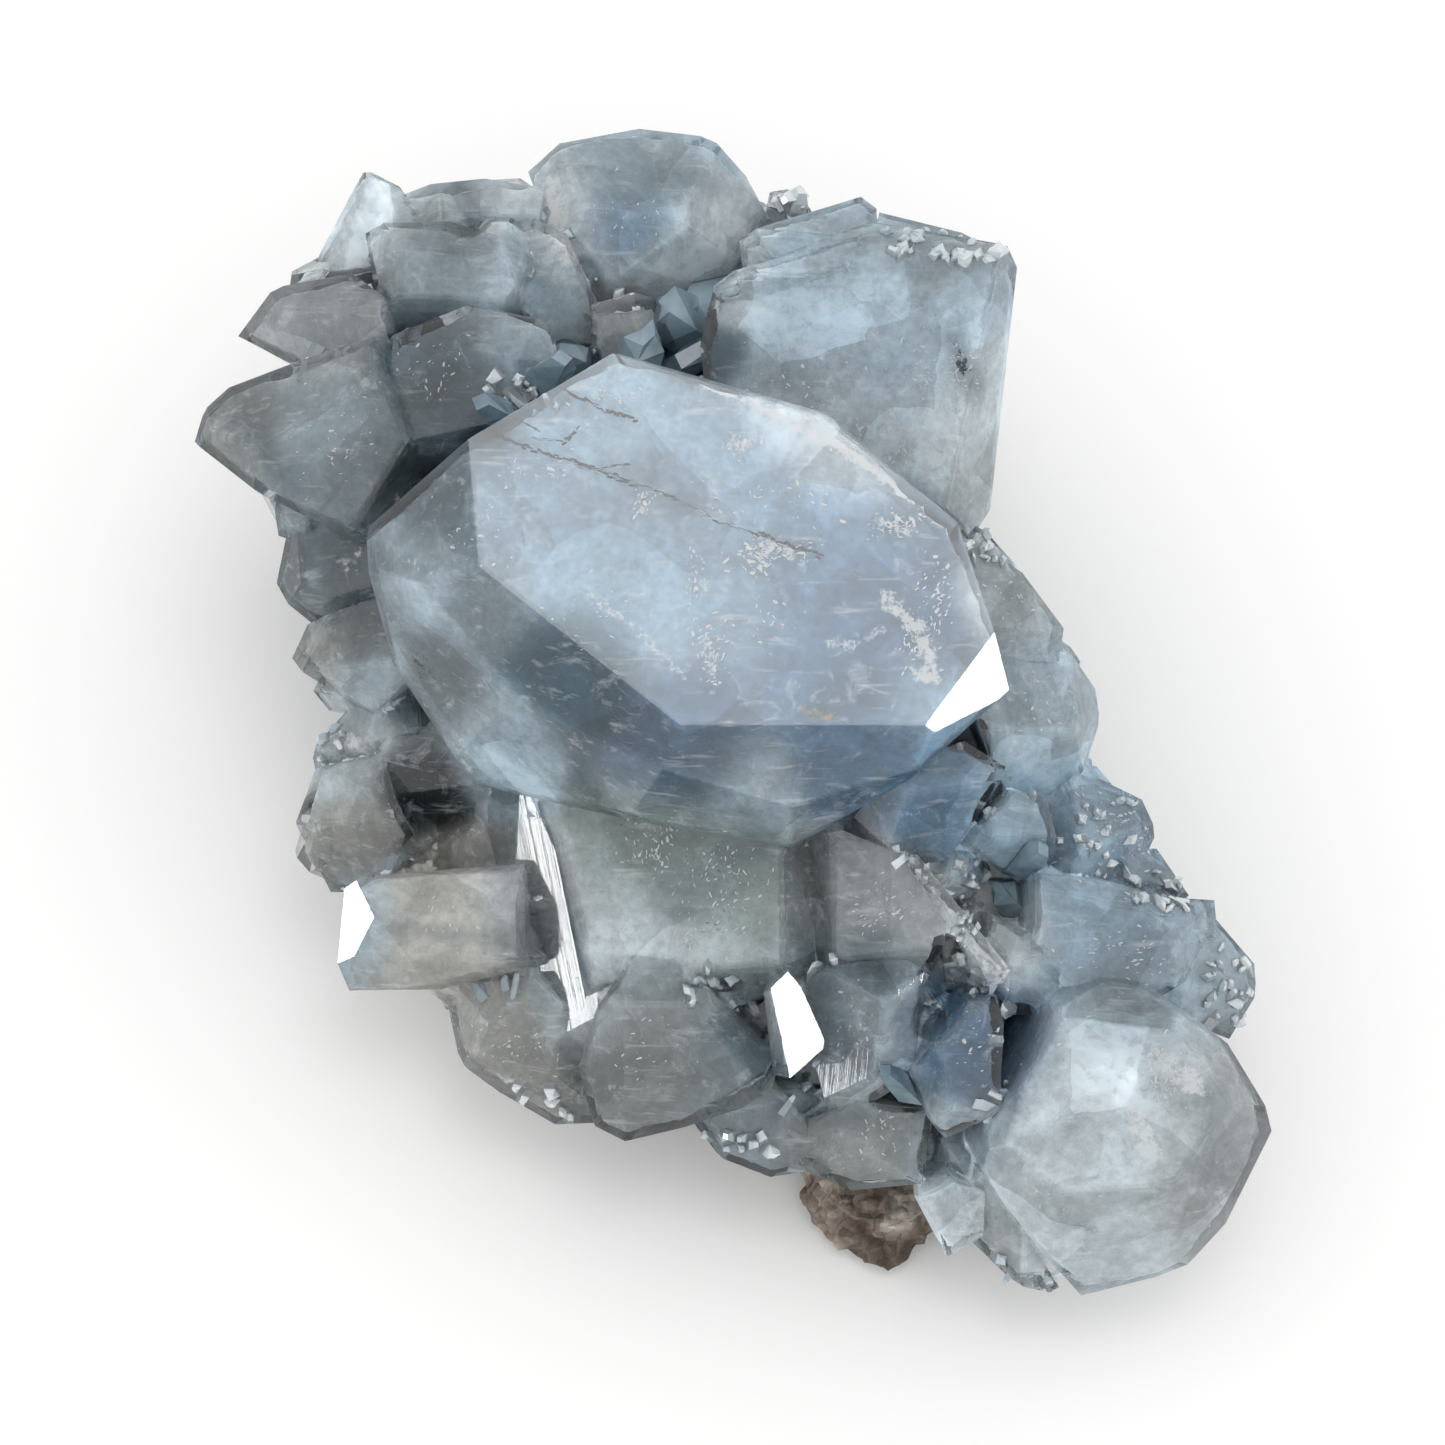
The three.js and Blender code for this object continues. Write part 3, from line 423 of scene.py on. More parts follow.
# Waves in a metre: the swells of the milky growth are about 5.6 mm apart and the fine ones 1.7 mm.
BROAD_WAVES = 180
FINE_WAVES = 600
LEAST_COVER = 0.08
# Painted light on the facets: how far each face's tone swings with the way it looks, and how fast.
FACET_LIGHT_CONTRAST = 0.5
FACET_LIGHT_VARIETY = 2.2
ZONE_BEND = 1.5
FARTHEST_TINT = 3
TINT_FALL = 1.8
MARK_FADE = 2.5
MARKED_SIDE = 0.1
CLOUD_SIZE = 7
BEND_SIZE = 4
# Angular patches of painted reflection: their size in mm, and their darkest and lightest tone.
REFLECTION_ZONES = [(7, 0.76, 1.12), (2.6, 0.88, 1.08)]
WISP_SIZE = 2.4
STREAK_SIZE = 0.9
STREAK_TURNS = [((0.3, 0.2, 0.6), 0), ((0.2, 0.5, 2.2), 3)]
STREAK_STRETCH = (0.1, 1, 1)
SPECK_SIZE = 0.8
# Colours of the painted marks, and the range of painted strength and noise over which each appears.
RAGGED_MARKS = [
    ("speckle", (1.95, 2.1), "#333f4c"), ("stain", (1.8, 2.2), "#c2a871"), ("veil_and_painted_light", (1.7, 2.05), "#ffffff"),
]
# The tints: a colour, and how much deeper below the clear faces the growth starts, in mm.
TINTS = {
    # The lightest tint is also painted light, and the darkest tint is painted shade.
    "frost_and_painted_light": ("#f0fafe", 0.0),
    "milk": ("#d4e6f0", 0.0),
    "sky": ("#b9d3e4", 0.1),
    "blue": ("#93b4ce", 0.2),
    "deep": ("#6a8aa6", 0.3),
    "teal": ("#3c6172", 0.4),
    "smoke": ("#c8cccd", 0.4),
    "haze": ("#a6b4bb", 0.4),
    "slate": ("#7b8a92", 0.4),
    "olive": ("#9fada8", 0.4),
    "painted_deep_shade": ("#353f45", 0.4),
    "ice": ("#dcf1ff", 0.0),
    "mist": ("#a3bccd", 0.1),
    "shell": ("#ece9e0", 0.0),
    "bone": ("#bdbcb6", 0.4),
    "ash": ("#979c9b", 0.4),
}
# Where each tint lies: its middle across and up, how far it reaches, and its name. Light tints are
# also laid as painted light where the crystals lie in shade, such as under the crown, and dark tints
# as painted shade in the gaps between crystals.
TINTED_PLACES = [
    (-12, 15, 8, "mist"), (-1, 12, 7, "mist"), (7, 13, 6, "blue"), (10.5, 5, 6.5, "deep"),
    (8, 11, 4, "deep"), (9.5, 2.5, 2.5, "teal"), (-7, 22, 4, "sky"),
    (-20, 16, 3, "haze"), (-21, 11, 3, "milk"), (-25, 3, 2.5, "milk"), (-20, 2.3, 3, "slate"),
    (-11, 4, 4, "teal"), (-16, 8, 3, "haze"),
    (-2, -1.6, 4, "deep"), (10, -2, 4, "deep"), (1.3, -4.6, 3, "milk"), (-16, -1.4, 3, "milk"),
    (14, 2, 3, "sky"), (-7, 36, 3, "blue"), (-12, 36, 4, "frost_and_painted_light"), (-6, 40, 4, "milk"), (0, 35, 3, "frost_and_painted_light"),
    (-4, 32, 2.5, "frost_and_painted_light"), (-1, 31, 2.5, "frost_and_painted_light"),
    (10, 31, 5, "milk"), (10, 25, 5, "ice"), (9, 20, 5, "frost_and_painted_light"), (18, 20, 4, "frost_and_painted_light"),
    (20, 9, 3, "frost_and_painted_light"), (23, 2, 4, "milk"), (14, -5.6, 3, "blue"), (20.6, -7.7, 3, "sky"),
    (27, -8, 4, "sky"), (28, -15, 5, "sky"), (35, -17, 4, "milk"),
    (26, -27, 6, "frost_and_painted_light"), (23, -35, 5, "frost_and_painted_light"), (35, -29, 5, "smoke"), (28, -20, 3, "haze"),
    (-2, -10, 5, "olive"), (-4.4, -15, 4, "frost_and_painted_light"), (-14, -13, 3, "smoke"), (-10, -20, 3, "frost_and_painted_light"),
    (-5, -23, 5, "ash"), (0.6, -23, 3, "slate"), (5, -21, 2, "smoke"),
    (10, -12, 4, "smoke"), (9, -17, 3, "haze"), (9, -23, 4, "milk"), (19, -23, 4, "deep"),
    (20, -15.6, 3, "frost_and_painted_light"), (10, -30, 4, "ash"), (0.6, -28.4, 3, "haze"), (16.6, -30.6, 3, "milk"),
    (16, -35, 3, "frost_and_painted_light"), (20, -37, 3, "smoke"),
    (-21, -14, 4, "shell"), (-26, -14, 3, "milk"), (-16, -24, 4, "bone"), (-27, -8.4, 3, "bone"),
    (-22, -4.2, 2.6, "painted_deep_shade"), (-28, -1.3, 4, "frost_and_painted_light"), (-27, 8.7, 4, "slate"), (-28, 5.8, 3, "bone"),
    (-28, 20, 4, "haze"), (-34, 21, 3, "ash"), (-29, 28.7, 4, "smoke"), (-25, 37, 4, "frost_and_painted_light"),
    (-20, 32, 4, "haze"), (-21, 24, 4, "slate"), (-14, 31, 4, "milk"), (-7, 28, 3, "smoke"),
    (-2.3, 27, 2.5, "teal"), (-16, 20, 2, "painted_deep_shade"),
]
# The painted marks: strokes through places on the crystal face, each with half its width and its
# strength. The shade strokes are painted shade, and some of the veil strokes are painted light.
MARKS = {
    # White veils: partly the crystal's own cloudy veils, partly painted light on places that lie in shade.
    "veil_and_painted_light": [
        ([(-9.4, 9), (-6, 6.5), (-2.5, 3)], 0.7, 0.8), ([(7.2, 5.6), (9, 5.4), (11, 6.4)], 0.9, 0.8),
        ([(11.5, 8.5), (13.5, 6.5), (14.6, 3.5)], 1.1, 1.0), ([(13.5, 3.4), (14.8, 3)], 0.9, 1.0),
        ([(-1.3, 23.8), (8.5, 19), (16, 13.6)], 0.6, 1.1), ([(2.5, 13), (5.6, 11)], 1.0, 0.75),
        ([(-6.2, 15.5), (-5.4, 14.6)], 0.7, 0.75), ([(0.6, 19.6), (2, 19.2)], 0.8, 0.75),
        ([(11, 14), (13, 13.4)], 0.8, 0.8), ([(-1.5, 10), (-1, 5), (-0.5, 1)], 0.8, 0.7),
        ([(-18.6, -1.5), (-17.8, -3.5)], 0.7, 0.9), ([(-20, 18), (-14, 18.5)], 0.5, 0.6),
        ([(-12.4, 38.5), (-11.8, 36), (-11, 33.5)], 1.3, 1.1),
        ([(-28.6, -0.6), (-25.6, -1.9)], 1.2, 0.9), ([(-23, 12), (-20, 10)], 0.6, 0.7),
        ([(-7, 22.4), (-12.5, 18.6)], 0.5, 0.7),
        ([(30.6, -23.6), (33.2, -25.4)], 1.4, 1.0), ([(28.6, -27.2), (30.4, -30.4)], 1.2, 1.0),
        ([(25, -22), (23, -27)], 0.9, 0.7), ([(13.3, -9.8), (16.8, -14), (20.2, -17.7)], 0.4, 1.1),
        ([(16.6, -15), (19.8, -18.2)], 1.0, 0.9), ([(-9, 29.8), (-4.6, 30)], 0.6, 1.0),
        ([(16, -37), (18.4, -34)], 1.0, 0.8), ([(-27, 11), (-23, 16)], 0.6, 0.8),
        ([(-37.5, 19), (-31, 15.4)], 0.5, 0.9), ([(21, 12), (16, 13.8)], 0.9, 0.9),
        ([(29, -12), (33, -12)], 0.9, 0.9), ([(4, 30), (7, 26), (8, 22)], 0.8, 0.7),
        ([(12, 22), (16, 18)], 1.2, 0.7), ([(-3, -14), (-2, -18)], 1.2, 0.7),
        ([(20, 24), (19.6, 16)], 0.6, 0.9),
        ([(-24.4, -9), (-17, -7.6)], 0.5, 0.8), ([(-20, -24), (-12, -27)], 0.8, 0.7),
    ],
    # Painted shade: dark strokes where the crystals lie in shade.
    "shade": [
        ([(-24.2, -14.6), (-15.5, -15.4)], 0.6, 0.5), ([(-22, 17), (-20.5, 14)], 2.2, 0.5),
        ([(-0.5, -3), (-1.5, -4.5)], 1.1, 0.7), ([(1, 26), (5, 24)], 1.5, 0.6),
        ([(-3, -12), (2, -9)], 2.4, 0.5), ([(-22, 27), (-18, 22.6)], 2.4, 0.6),
        ([(16.6, 27), (17.6, 24)], 1.0, 0.9), ([(-34, 21), (-30, 17)], 1.2, 0.6),
        ([(9.4, -15.7), (12.4, -15)], 0.8, 0.7), ([(4, -27), (10, -28)], 0.8, 0.7),
        ([(28, -20.4), (31, -19.6)], 0.7, 0.7), ([(-12.6, -8), (-11, -14), (-9.4, -19)], 0.35, 1.0),
        ([(-13.5, -14), (-12.6, -20)], 1.0, 0.7),
        ([(12, 9), (15, 3)], 1.0, 0.4), ([(-5, 39), (4, 38)], 1.0, 0.4), ([(35, -26), (34, -31)], 1.6, 0.5),
    ],
    "stain": [([(5.6, 0.6), (7.6, 0.4)], 0.9, 1.0), ([(7.4, 36), (9, 34)], 0.8, 0.5)],
    "speckle": [
        ([(-21.4, 4.4), (-20.8, 3.4)], 1.3, 1.0), ([(16.5, 26.5), (17.2, 24.8)], 1.0, 1.0),
        ([(-7, -8), (2, -12), (-2, -15)], 3.0, 0.75), ([(5, -1.4), (10, -2)], 1.6, 0.6),
        ([(-16, 6), (-6, 0)], 2.2, 0.6), ([(10, -11), (12, -15)], 2.0, 0.6),
    ],
}


def evaluated_mesh(thing):
    graph = bpy.context.evaluated_depsgraph_get()
    return bpy.data.meshes.new_from_object(thing.evaluated_get(graph), depsgraph=graph)


def inner_solid(thing, depth, band, voxel, name):
    """A closed mesh that lies everywhere about depth mm inside another."""
    volume = bpy.data.objects.new(name + "_volume", bpy.data.volumes.new(name + "_volume"))
    fill = volume.modifiers.new("fill", "MESH_TO_VOLUME")
    fill.object = thing
    fill.resolution_mode = "VOXEL_SIZE"
    fill.voxel_size = voxel * MM
    fill.interior_band_width = band * MM
    shell = bpy.data.objects.new(name + "_shell", bpy.data.meshes.new(name + "_shell"))
    cover = shell.modifiers.new("cover", "VOLUME_TO_MESH")
    cover.object = volume
    cover.resolution_mode = "GRID"
    cover.threshold = depth / band
    for helper in (volume, shell):
        scene.collection.objects.link(helper)
    mesh = evaluated_mesh(shell)
    for helper in (volume, shell):
        bpy.data.objects.remove(helper)
    return mesh


tint_table = [
    (across, up, reach, linear(TINTS[name][0]), TINTS[name][1])
    for across, up, reach, name in TINTED_PLACES
]


def growth_at(x, y):
    """The tint of the milky growth at a place, and how much deeper it starts there."""
    total = [0.0, 0.0, 0.0]
    depth = 0.0
    weight_sum = 1e-9
    for across, up, reach, shade, deeper in tint_table:
        away = ((x - across) ** 2 + (y - up) ** 2) / reach ** 2
        if away > FARTHEST_TINT ** 2:
            continue
        weight = math.exp(-TINT_FALL * away)
        weight_sum += weight
        depth += deeper * weight
        for channel in range(3):
            total[channel] += shade[channel] * weight
    if not depth and not any(total):
        return linear(TINTS["haze"][0]), TINTS["haze"][1]
    return [part / weight_sum for part in total] + [1], depth / weight_sum


def mark_at(strokes, x, y):
    """How strongly the strokes of one kind of mark show at a place."""
    strongest = 0
    for points, half_width, strength in strokes:
        margin = MARK_FADE * half_width
        for (ax, ay), (bx, by) in zip(points, points[1:]):
            near_across = min(ax, bx) - margin < x < max(ax, bx) + margin
            near_up = min(ay, by) - margin < y < max(ay, by) + margin
            if not (near_across and near_up):
                continue
            along = ((x - ax) * (bx - ax) + (y - ay) * (by - ay)) / ((bx - ax) ** 2 + (by - ay) ** 2)
            along = min(1, max(0, along))
            away = math.hypot(x - ax - along * (bx - ax), y - ay - along * (by - ay)) / half_width
            strongest = max(strongest, strength * math.exp(-away * away))
    return strongest


def milky_celestite():
    """Cloudy celestite, grown fast. The eye gets a matt body with clouds, streaks, white veils and dark
    specks, in a tint that changes from crystal to crystal, with angular patches of painted reflection,
    strokes of painted shade and veils that are partly painted light.
    """
    material, tree, output = new_material("milky_celestite")
    place = add_node(tree, "ShaderNodeTexCoord").outputs["Object"]
    clouds = add_node(tree, "ShaderNodeTexNoise", {
        "Vector": place, "Scale": repeats(CLOUD_SIZE), "Detail": 6, "Roughness": 0.66, "Distortion": 0.5,
    }).outputs["Fac"]
    wisps = add_node(tree, "ShaderNodeTexNoise", {
        "Vector": place, "Scale": repeats(WISP_SIZE), "Detail": 6, "Roughness": 0.75, "Distortion": 0.8,
    }).outputs["Fac"]
    fine = add_node(tree, "ShaderNodeTexNoise", {
        "Vector": place, "Scale": repeats(SPECK_SIZE), "Detail": 5, "Roughness": 0.75,
    }).outputs["Fac"]
    bends = add_node(tree, "ShaderNodeTexNoise", {"Vector": place, "Scale": repeats(BEND_SIZE)})
    bent = add_node(tree, "ShaderNodeVectorMath", {
        0: bends.outputs["Color"], 1: [ZONE_BEND * MM] * 3, 2: place,
    }, operation="MULTIPLY_ADD").outputs["Vector"]
    # Each layer: what drives it, the range of that which counts, its strength at both ends, and the
    # colour that it lays on. Without a colour it makes what is below darker or lighter.
    layers = [(clouds, (0.32, 0.68), (0.66, 1.25), None)]
    # Painted reflection: angular patches, darker and lighter, for the light thrown about inside the crystals.
    for size, dark, light in REFLECTION_ZONES:
        painted_reflections = add_node(tree, "ShaderNodeTexVoronoi", {"Vector": bent, "Scale": repeats(size)})
        tones = add_node(tree, "ShaderNodeSeparateColor", {"Color": painted_reflections.outputs["Color"]})
        layers.append((tones.outputs[0], (0, 1), (dark, light), None))
    layers.append((wisps, (0.56, 0.74), (0, 0.6), "#f2f8fb"))
    layers.append((wisps, (0.42, 0.3), (0, 0.35), "#5d7684"))
    for turned, shift in STREAK_TURNS:
        stretched = add_node(tree, "ShaderNodeMapping", {
            "Vector": place, "Location": (shift, 0, 0), "Rotation": turned, "Scale": STREAK_STRETCH,
        })
        streaks = add_node(tree, "ShaderNodeTexNoise", {
            "Vector": stretched.outputs["Vector"], "Scale": repeats(STREAK_SIZE),
            "Detail": 3, "Roughness": 0.6,
        })
        layers.append((streaks.outputs["Fac"], (0.61, 0.74), (0, 0.45), "#f8fcfe"))
    layers.append((fine, (0.3, 0.7), (0.8, 1.18), None))
    # The shade strokes lay painted shade on the growth.
    shaded = add_node(tree, "ShaderNodeAttribute", attribute_name="shade")
    layers.append((shaded.outputs["Fac"], (0, 1), (0, 0.6), "#4d6370"))
    # Specks and stains are the crystal's own; the veils are partly its own and partly painted light.
    for kind, seen, hue in RAGGED_MARKS:
        strokes = add_node(tree, "ShaderNodeAttribute", attribute_name=kind)
        ragged = add_node(tree, "ShaderNodeMath", {
            0: fine, 1: 2, 2: strokes.outputs["Fac"],
        }, operation="MULTIPLY_ADD")
        layers.append((ragged.outputs["Value"], seen, (0, 1), hue))
    colour = add_node(tree, "ShaderNodeAttribute", attribute_name="tint").outputs["Color"]
    for driver, (start, end), (weak, strong), hue in layers:
        amount = add_node(tree, "ShaderNodeMapRange", {
            "Value": driver, "From Min": start, "From Max": end, "To Min": weak, "To Max": strong,
        }).outputs["Result"]
        share, over, blend = (1, amount, "MULTIPLY") if hue is None else (amount, linear(hue), "MIX")
        colour = add_node(tree, "ShaderNodeMix", {
            0: share, 6: colour, 7: over,
        }, data_type="RGBA", blend_type=blend).outputs[2]
    shader = add_node(tree, "ShaderNodeBsdfPrincipled", {
        "Base Color": colour, "Roughness": 0.6, "IOR": 1.0,
    })
    tree.links.new(shader.outputs["BSDF"], output.inputs["Surface"])
    return material


cloud_mesh = inner_solid(crystals, CLOUD_DEPTH, CLOUD_BAND, CLOUD_VOXEL, "milky_growth")
cloud_mesh.color_attributes.new("tint", "FLOAT_COLOR", "POINT")
for kind in MARKS:
    cloud_mesh.attributes.new(kind, "FLOAT", "POINT")
tints_and_painted_light = cloud_mesh.attributes["tint"]
painted = {kind: cloud_mesh.attributes[kind] for kind in MARKS}
normals = [vertex.normal.copy() for vertex in cloud_mesh.vertices]
for vertex, normal in zip(cloud_mesh.vertices, normals):
    x, y = squarely(vertex.co)
    shade, deeper = growth_at(x, y)
    # Painted light: the tint under each face is made lighter or darker by the way that face looks.
    facing = skin_tree.find_nearest(vertex.co)[1]
    facet_light = 1 + FACET_LIGHT_CONTRAST * noise.noise(facing * FACET_LIGHT_VARIETY)
    tints_and_painted_light.data[vertex.index].color = [part * facet_light for part in shade[:3]] + [1]
    if normal.dot(FACE_OUTWARD) > MARKED_SIDE:
        for kind, strokes in MARKS.items():
            painted[kind].data[vertex.index].value = mark_at(strokes, x, y)
    uneven = CLOUD_START + BROAD_HEIGHT * noise.noise(vertex.co * BROAD_WAVES)
    uneven += FINE_HEIGHT * noise.noise(vertex.co * FINE_WAVES)
    vertex.co -= normal * (deeper + max(0, uneven) * CLOUD_UNEVEN) * MM
    if not under_skin(vertex.co, LEAST_COVER):
        near, outward, _, _ = skin_tree.find_nearest(vertex.co)
        vertex.co = near - outward * LEAST_COVER * MM
milky = new_object("milky_growth", cloud_mesh, milky_celestite())
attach(milky, "root")


# Healed cracks and flakes inside the crystals: thin films of trapped brine and gas that flash white,
# drawn as white flecks whose white is partly their own and partly a painted glint. They lie a little
# under the clear faces, in swarms along old fractures.
FLAKE_SEED = 12
FLAKE_SIZES = (0.07, 0.38)
FLAKE_SHAPES = 5
FLAKE_DEPTHS = (0.02, 0.14)
FLAKE_CORNERS = (0.5, 1.3)
FLAKE_TILT = 0.2
FLAKE_STRETCH = (0.5, 1.6)
FLAKE_WIDTH = (0.15, 0.6)
FLAKE_THICKNESS = 0.1
FLAKES_FOR_EACH = 3
SWARM_SPREAD = 0.6
# Each swarm: its middle across and up, its half sizes in mm, and how dense it is.
FLAKE_SWARMS = [
    (-13, 17.5, 3, 0.6, 10), (-5.6, 15, 0.7, 0.9, 18), (1.2, 19.4, 1, 0.7, 26), (6, 21, 3, 0.6, 26),
    (3.5, 12, 2.2, 0.7, 60), (2.4, 11, 1, 0.8, 24), (12.2, 13.8, 1.6, 0.7, 34), (14.8, 9, 1.2, 2, 26),
    (13.4, 6, 1.4, 2, 40), (-2, 9.6, 0.6, 2.6, 14), (-0.9, 5, 1.2, 2, 30), (3, 7, 2, 2, 12),
    (-9, 8, 3, 2, 10), (-17, 13, 3, 3, 16), (-7, 22.4, 3, 1, 14), (4, 15, 6, 3, 24),
    (12, 19, 3, 2, 50), (16, 24, 2, 3, 70), (8, 28, 5, 3, 34), (4, 23, 3, 2, 20),
    (26, -24, 3, 3, 30), (31, -25, 1.6, 2, 40), (23, -33, 3, 2, 16), (28, -8, 3, 3, 60),
    (29, -16, 4, 2, 26), (23, 1, 2, 3, 16), (20, 9, 2, 2, 16), (-5, -9, 2, 2, 34),
    (0, -12, 3, 4, 50), (-2.4, -16, 1, 1.6, 30), (11, -13, 2, 2, 24), (17, -14, 1, 3, 30),
    (9, -22, 2, 3, 14), (18, -23, 2, 3, 12), (-5, -23, 3, 3, 12), (-19, -14, 3, 2, 10),
    (-15, -23, 3, 2, 16), (-27, 20, 3, 3, 16), (-20, 25, 3, 2, 14), (-7, 36, 3, 3, 14), (11, -29, 2, 2, 14),
]
CRACKS = [
    [(-15.6, 19.8), (-12.5, 18.7), (-8.7, 17.6), (-6.4, 18.0)], [(-8.6, 17.6), (-4.1, 15.9), (-0.8, 14.2)],
    [(-0.6, 14), (3.6, 12.7), (7, 11.5)], [(-10.9, 23), (-8, 21.6), (-5.9, 20.9)],
    [(-13.2, 19.8), (-11, 19.4), (-9.9, 20.6)], [(-14.6, 21.2), (-12.6, 20.2)], [(-10.2, 17.9), (-6, 16.4)],
    [(-13.4, 21.2), (-12.2, 21.8)],
]
CRACK_STEP = 0.22
CRACK_DEPTH = 0.03
CRACK_OVERLAP = 2.4
CRACK_THICKNESS = 0.02
CRACK_JITTER = 0.05
CRACK_WANDER = 0.08
CRACK_TURN = 0.4
CRACK_WIDTHS = (0.05, 0.27)


def film_with_painted_glint():
    """A film of trapped brine and gas. The eye gets a white fleck with a soft shine, partly a painted glint.
    """
    material, tree, output = new_material("film_with_painted_glint")
    shader = add_node(tree, "ShaderNodeBsdfPrincipled", {
        "Base Color": linear("#fdfeff"), "Roughness": 0.35, "IOR": 1.3,
    })
    tree.links.new(shader.outputs["BSDF"], output.inputs["Surface"])
    return material


def open_crack():
    """An open crack in clear celestite. No light comes back from it, so the eye gets a dark teal line."""
    material, tree, output = new_material("open_crack")
    shader = add_node(tree, "ShaderNodeBsdfPrincipled", {
        "Base Color": linear("#2f4752"), "Roughness": 0.4, "IOR": 1.3,
    })
    tree.links.new(shader.outputs["BSDF"], output.inputs["Surface"])
    return material


draw = random.Random(FLAKE_SEED)
flake_shapes = []
for _ in range(FLAKE_SHAPES):
    flake = bmesh.new()
    bmesh.ops.create_icosphere(flake, subdivisions=1, radius=0.5)
    for corner in flake.verts:
        corner.co *= draw.uniform(*FLAKE_CORNERS)
    flake_shapes.append(to_mesh(flake, "flake_shape"))
turn_to_face = Matrix.Rotation(LEAN, 3, "X")
flakes = bmesh.new()
for across, up, half_across, half_up, count in FLAKE_SWARMS:
    lie = draw.uniform(0, math.pi)
    for _ in range(FLAKES_FOR_EACH * count):
        place, normal = on_skin(
            across + draw.gauss(0, SWARM_SPREAD) * half_across,
            up + draw.gauss(0, SWARM_SPREAD) * half_up,
            draw.uniform(*FLAKE_DEPTHS),
        )
        if place is None:
            continue
        length = draw.uniform(*FLAKE_SIZES) * draw.uniform(*FLAKE_STRETCH) * MM
        angle = draw.gauss(lie, SWARM_SPREAD)
        lengthwise = turn_to_face @ Vector((math.cos(angle), math.sin(angle), 0))
        lay_on(flakes, draw.choice(flake_shapes), place, normal + any_way(draw) * FLAKE_TILT, lengthwise,
               (length, length * draw.uniform(*FLAKE_WIDTH), length * FLAKE_THICKNESS), inside=True)
films = new_object("films_with_painted_glint", to_mesh(flakes, "films_with_painted_glint"), film_with_painted_glint())

splits = bmesh.new()
for points in CRACKS:
    for start, end in zip(points, points[1:]):
        reach = math.dist(start, end)
        width = draw.uniform(*CRACK_WIDTHS)
        steps = max(1, round(reach / CRACK_STEP))
        for step in range(steps):
            share = step / steps
            across = start[0] + (end[0] - start[0]) * share + draw.gauss(0, CRACK_JITTER)
            up = start[1] + (end[1] - start[1]) * share + draw.gauss(0, CRACK_WANDER)
            place, normal = on_skin(across, up, CRACK_DEPTH)
            width = min(CRACK_WIDTHS[1], max(CRACK_WIDTHS[0], width + draw.gauss(0, CRACK_JITTER)))
            rise = end[1] - start[1] + draw.gauss(0, CRACK_TURN)
            lengthwise = turn_to_face @ Vector((end[0] - start[0], rise, 0))
            lay_on(splits, draw.choice(flake_shapes), place, normal, lengthwise,
                   (CRACK_STEP * CRACK_OVERLAP * MM, width * MM, CRACK_THICKNESS * MM), inside=True)
cracks = new_object("open_cracks", to_mesh(splits, "open_cracks"), open_crack())
for shape in flake_shapes:
    bpy.data.meshes.remove(shape)
for inner in (films, cracks):
    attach(inner, "root")


# Matrix: a thin piece of the limestone that the crystals grew on. It is porous and stained by iron,
# and the cluster rests on its underside, where it broke from the wall of the hollow.
ROCK_VOXEL = 0.42
ROCK_ROUGH = 0.8
ROCK_GRAIN = 0.7
ROCK_START = 0.4
LUMP_HEIGHT = 0.7
PIT_HEIGHT = 0.8
# Waves in a metre: the lumps of the broken rock are about 2.9 mm apart and its pits 0.9 mm.
LUMP_WAVES = 350
PIT_WAVES = 1100
STAIN_SIZE = 5
GRAIN_TONES = (0.55, 1.35)
GRAIN_RELIEF = 0.3


def broken_limestone():
    """Porous limestone, broken. The eye gets matt grey-beige grains, brown iron stain and dark pores."""
    material, tree, output = new_material("broken_limestone")
    place = add_node(tree, "ShaderNodeTexCoord").outputs["Object"]
    grains = add_node(tree, "ShaderNodeTexVoronoi", {"Vector": place, "Scale": repeats(ROCK_GRAIN)})
    stain = add_node(tree, "ShaderNodeTexNoise", {"Vector": place, "Scale": repeats(STAIN_SIZE), "Detail": 6})
    base = add_node(tree, "ShaderNodeValToRGB", {"Fac": stain.outputs["Fac"]})
    ramp = base.color_ramp
    ramp.elements[0].position = 0.36
    ramp.elements[0].color = linear("#544840")
    ramp.elements[1].position = 0.66
    ramp.elements[1].color = linear("#b5aea6")
    middle = ramp.elements.new(0.5)
    middle.color = linear("#867a70")
    grain_tone = add_node(tree, "ShaderNodeMapRange", {
        "Value": grains.outputs["Color"], "To Min": GRAIN_TONES[0], "To Max": GRAIN_TONES[1],
    })
    shaded = add_node(tree, "ShaderNodeMix", {
        0: 1.0, 6: base.outputs["Color"], 7: grain_tone.outputs["Result"],
    }, data_type="RGBA", blend_type="MULTIPLY")
    bump = add_node(tree, "ShaderNodeBump", {
        "Strength": 0.8, "Distance": GRAIN_RELIEF * MM, "Height": grains.outputs["Distance"],
    }, invert=True)
    shader = add_node(tree, "ShaderNodeBsdfPrincipled", {
        "Base Color": shaded.outputs[2],
        "Roughness": 0.9,
        "Specular IOR Level": 0.3,
        "Normal": bump.outputs["Normal"],
    })
    tree.links.new(shader.outputs["BSDF"], output.inputs["Surface"])
    return material


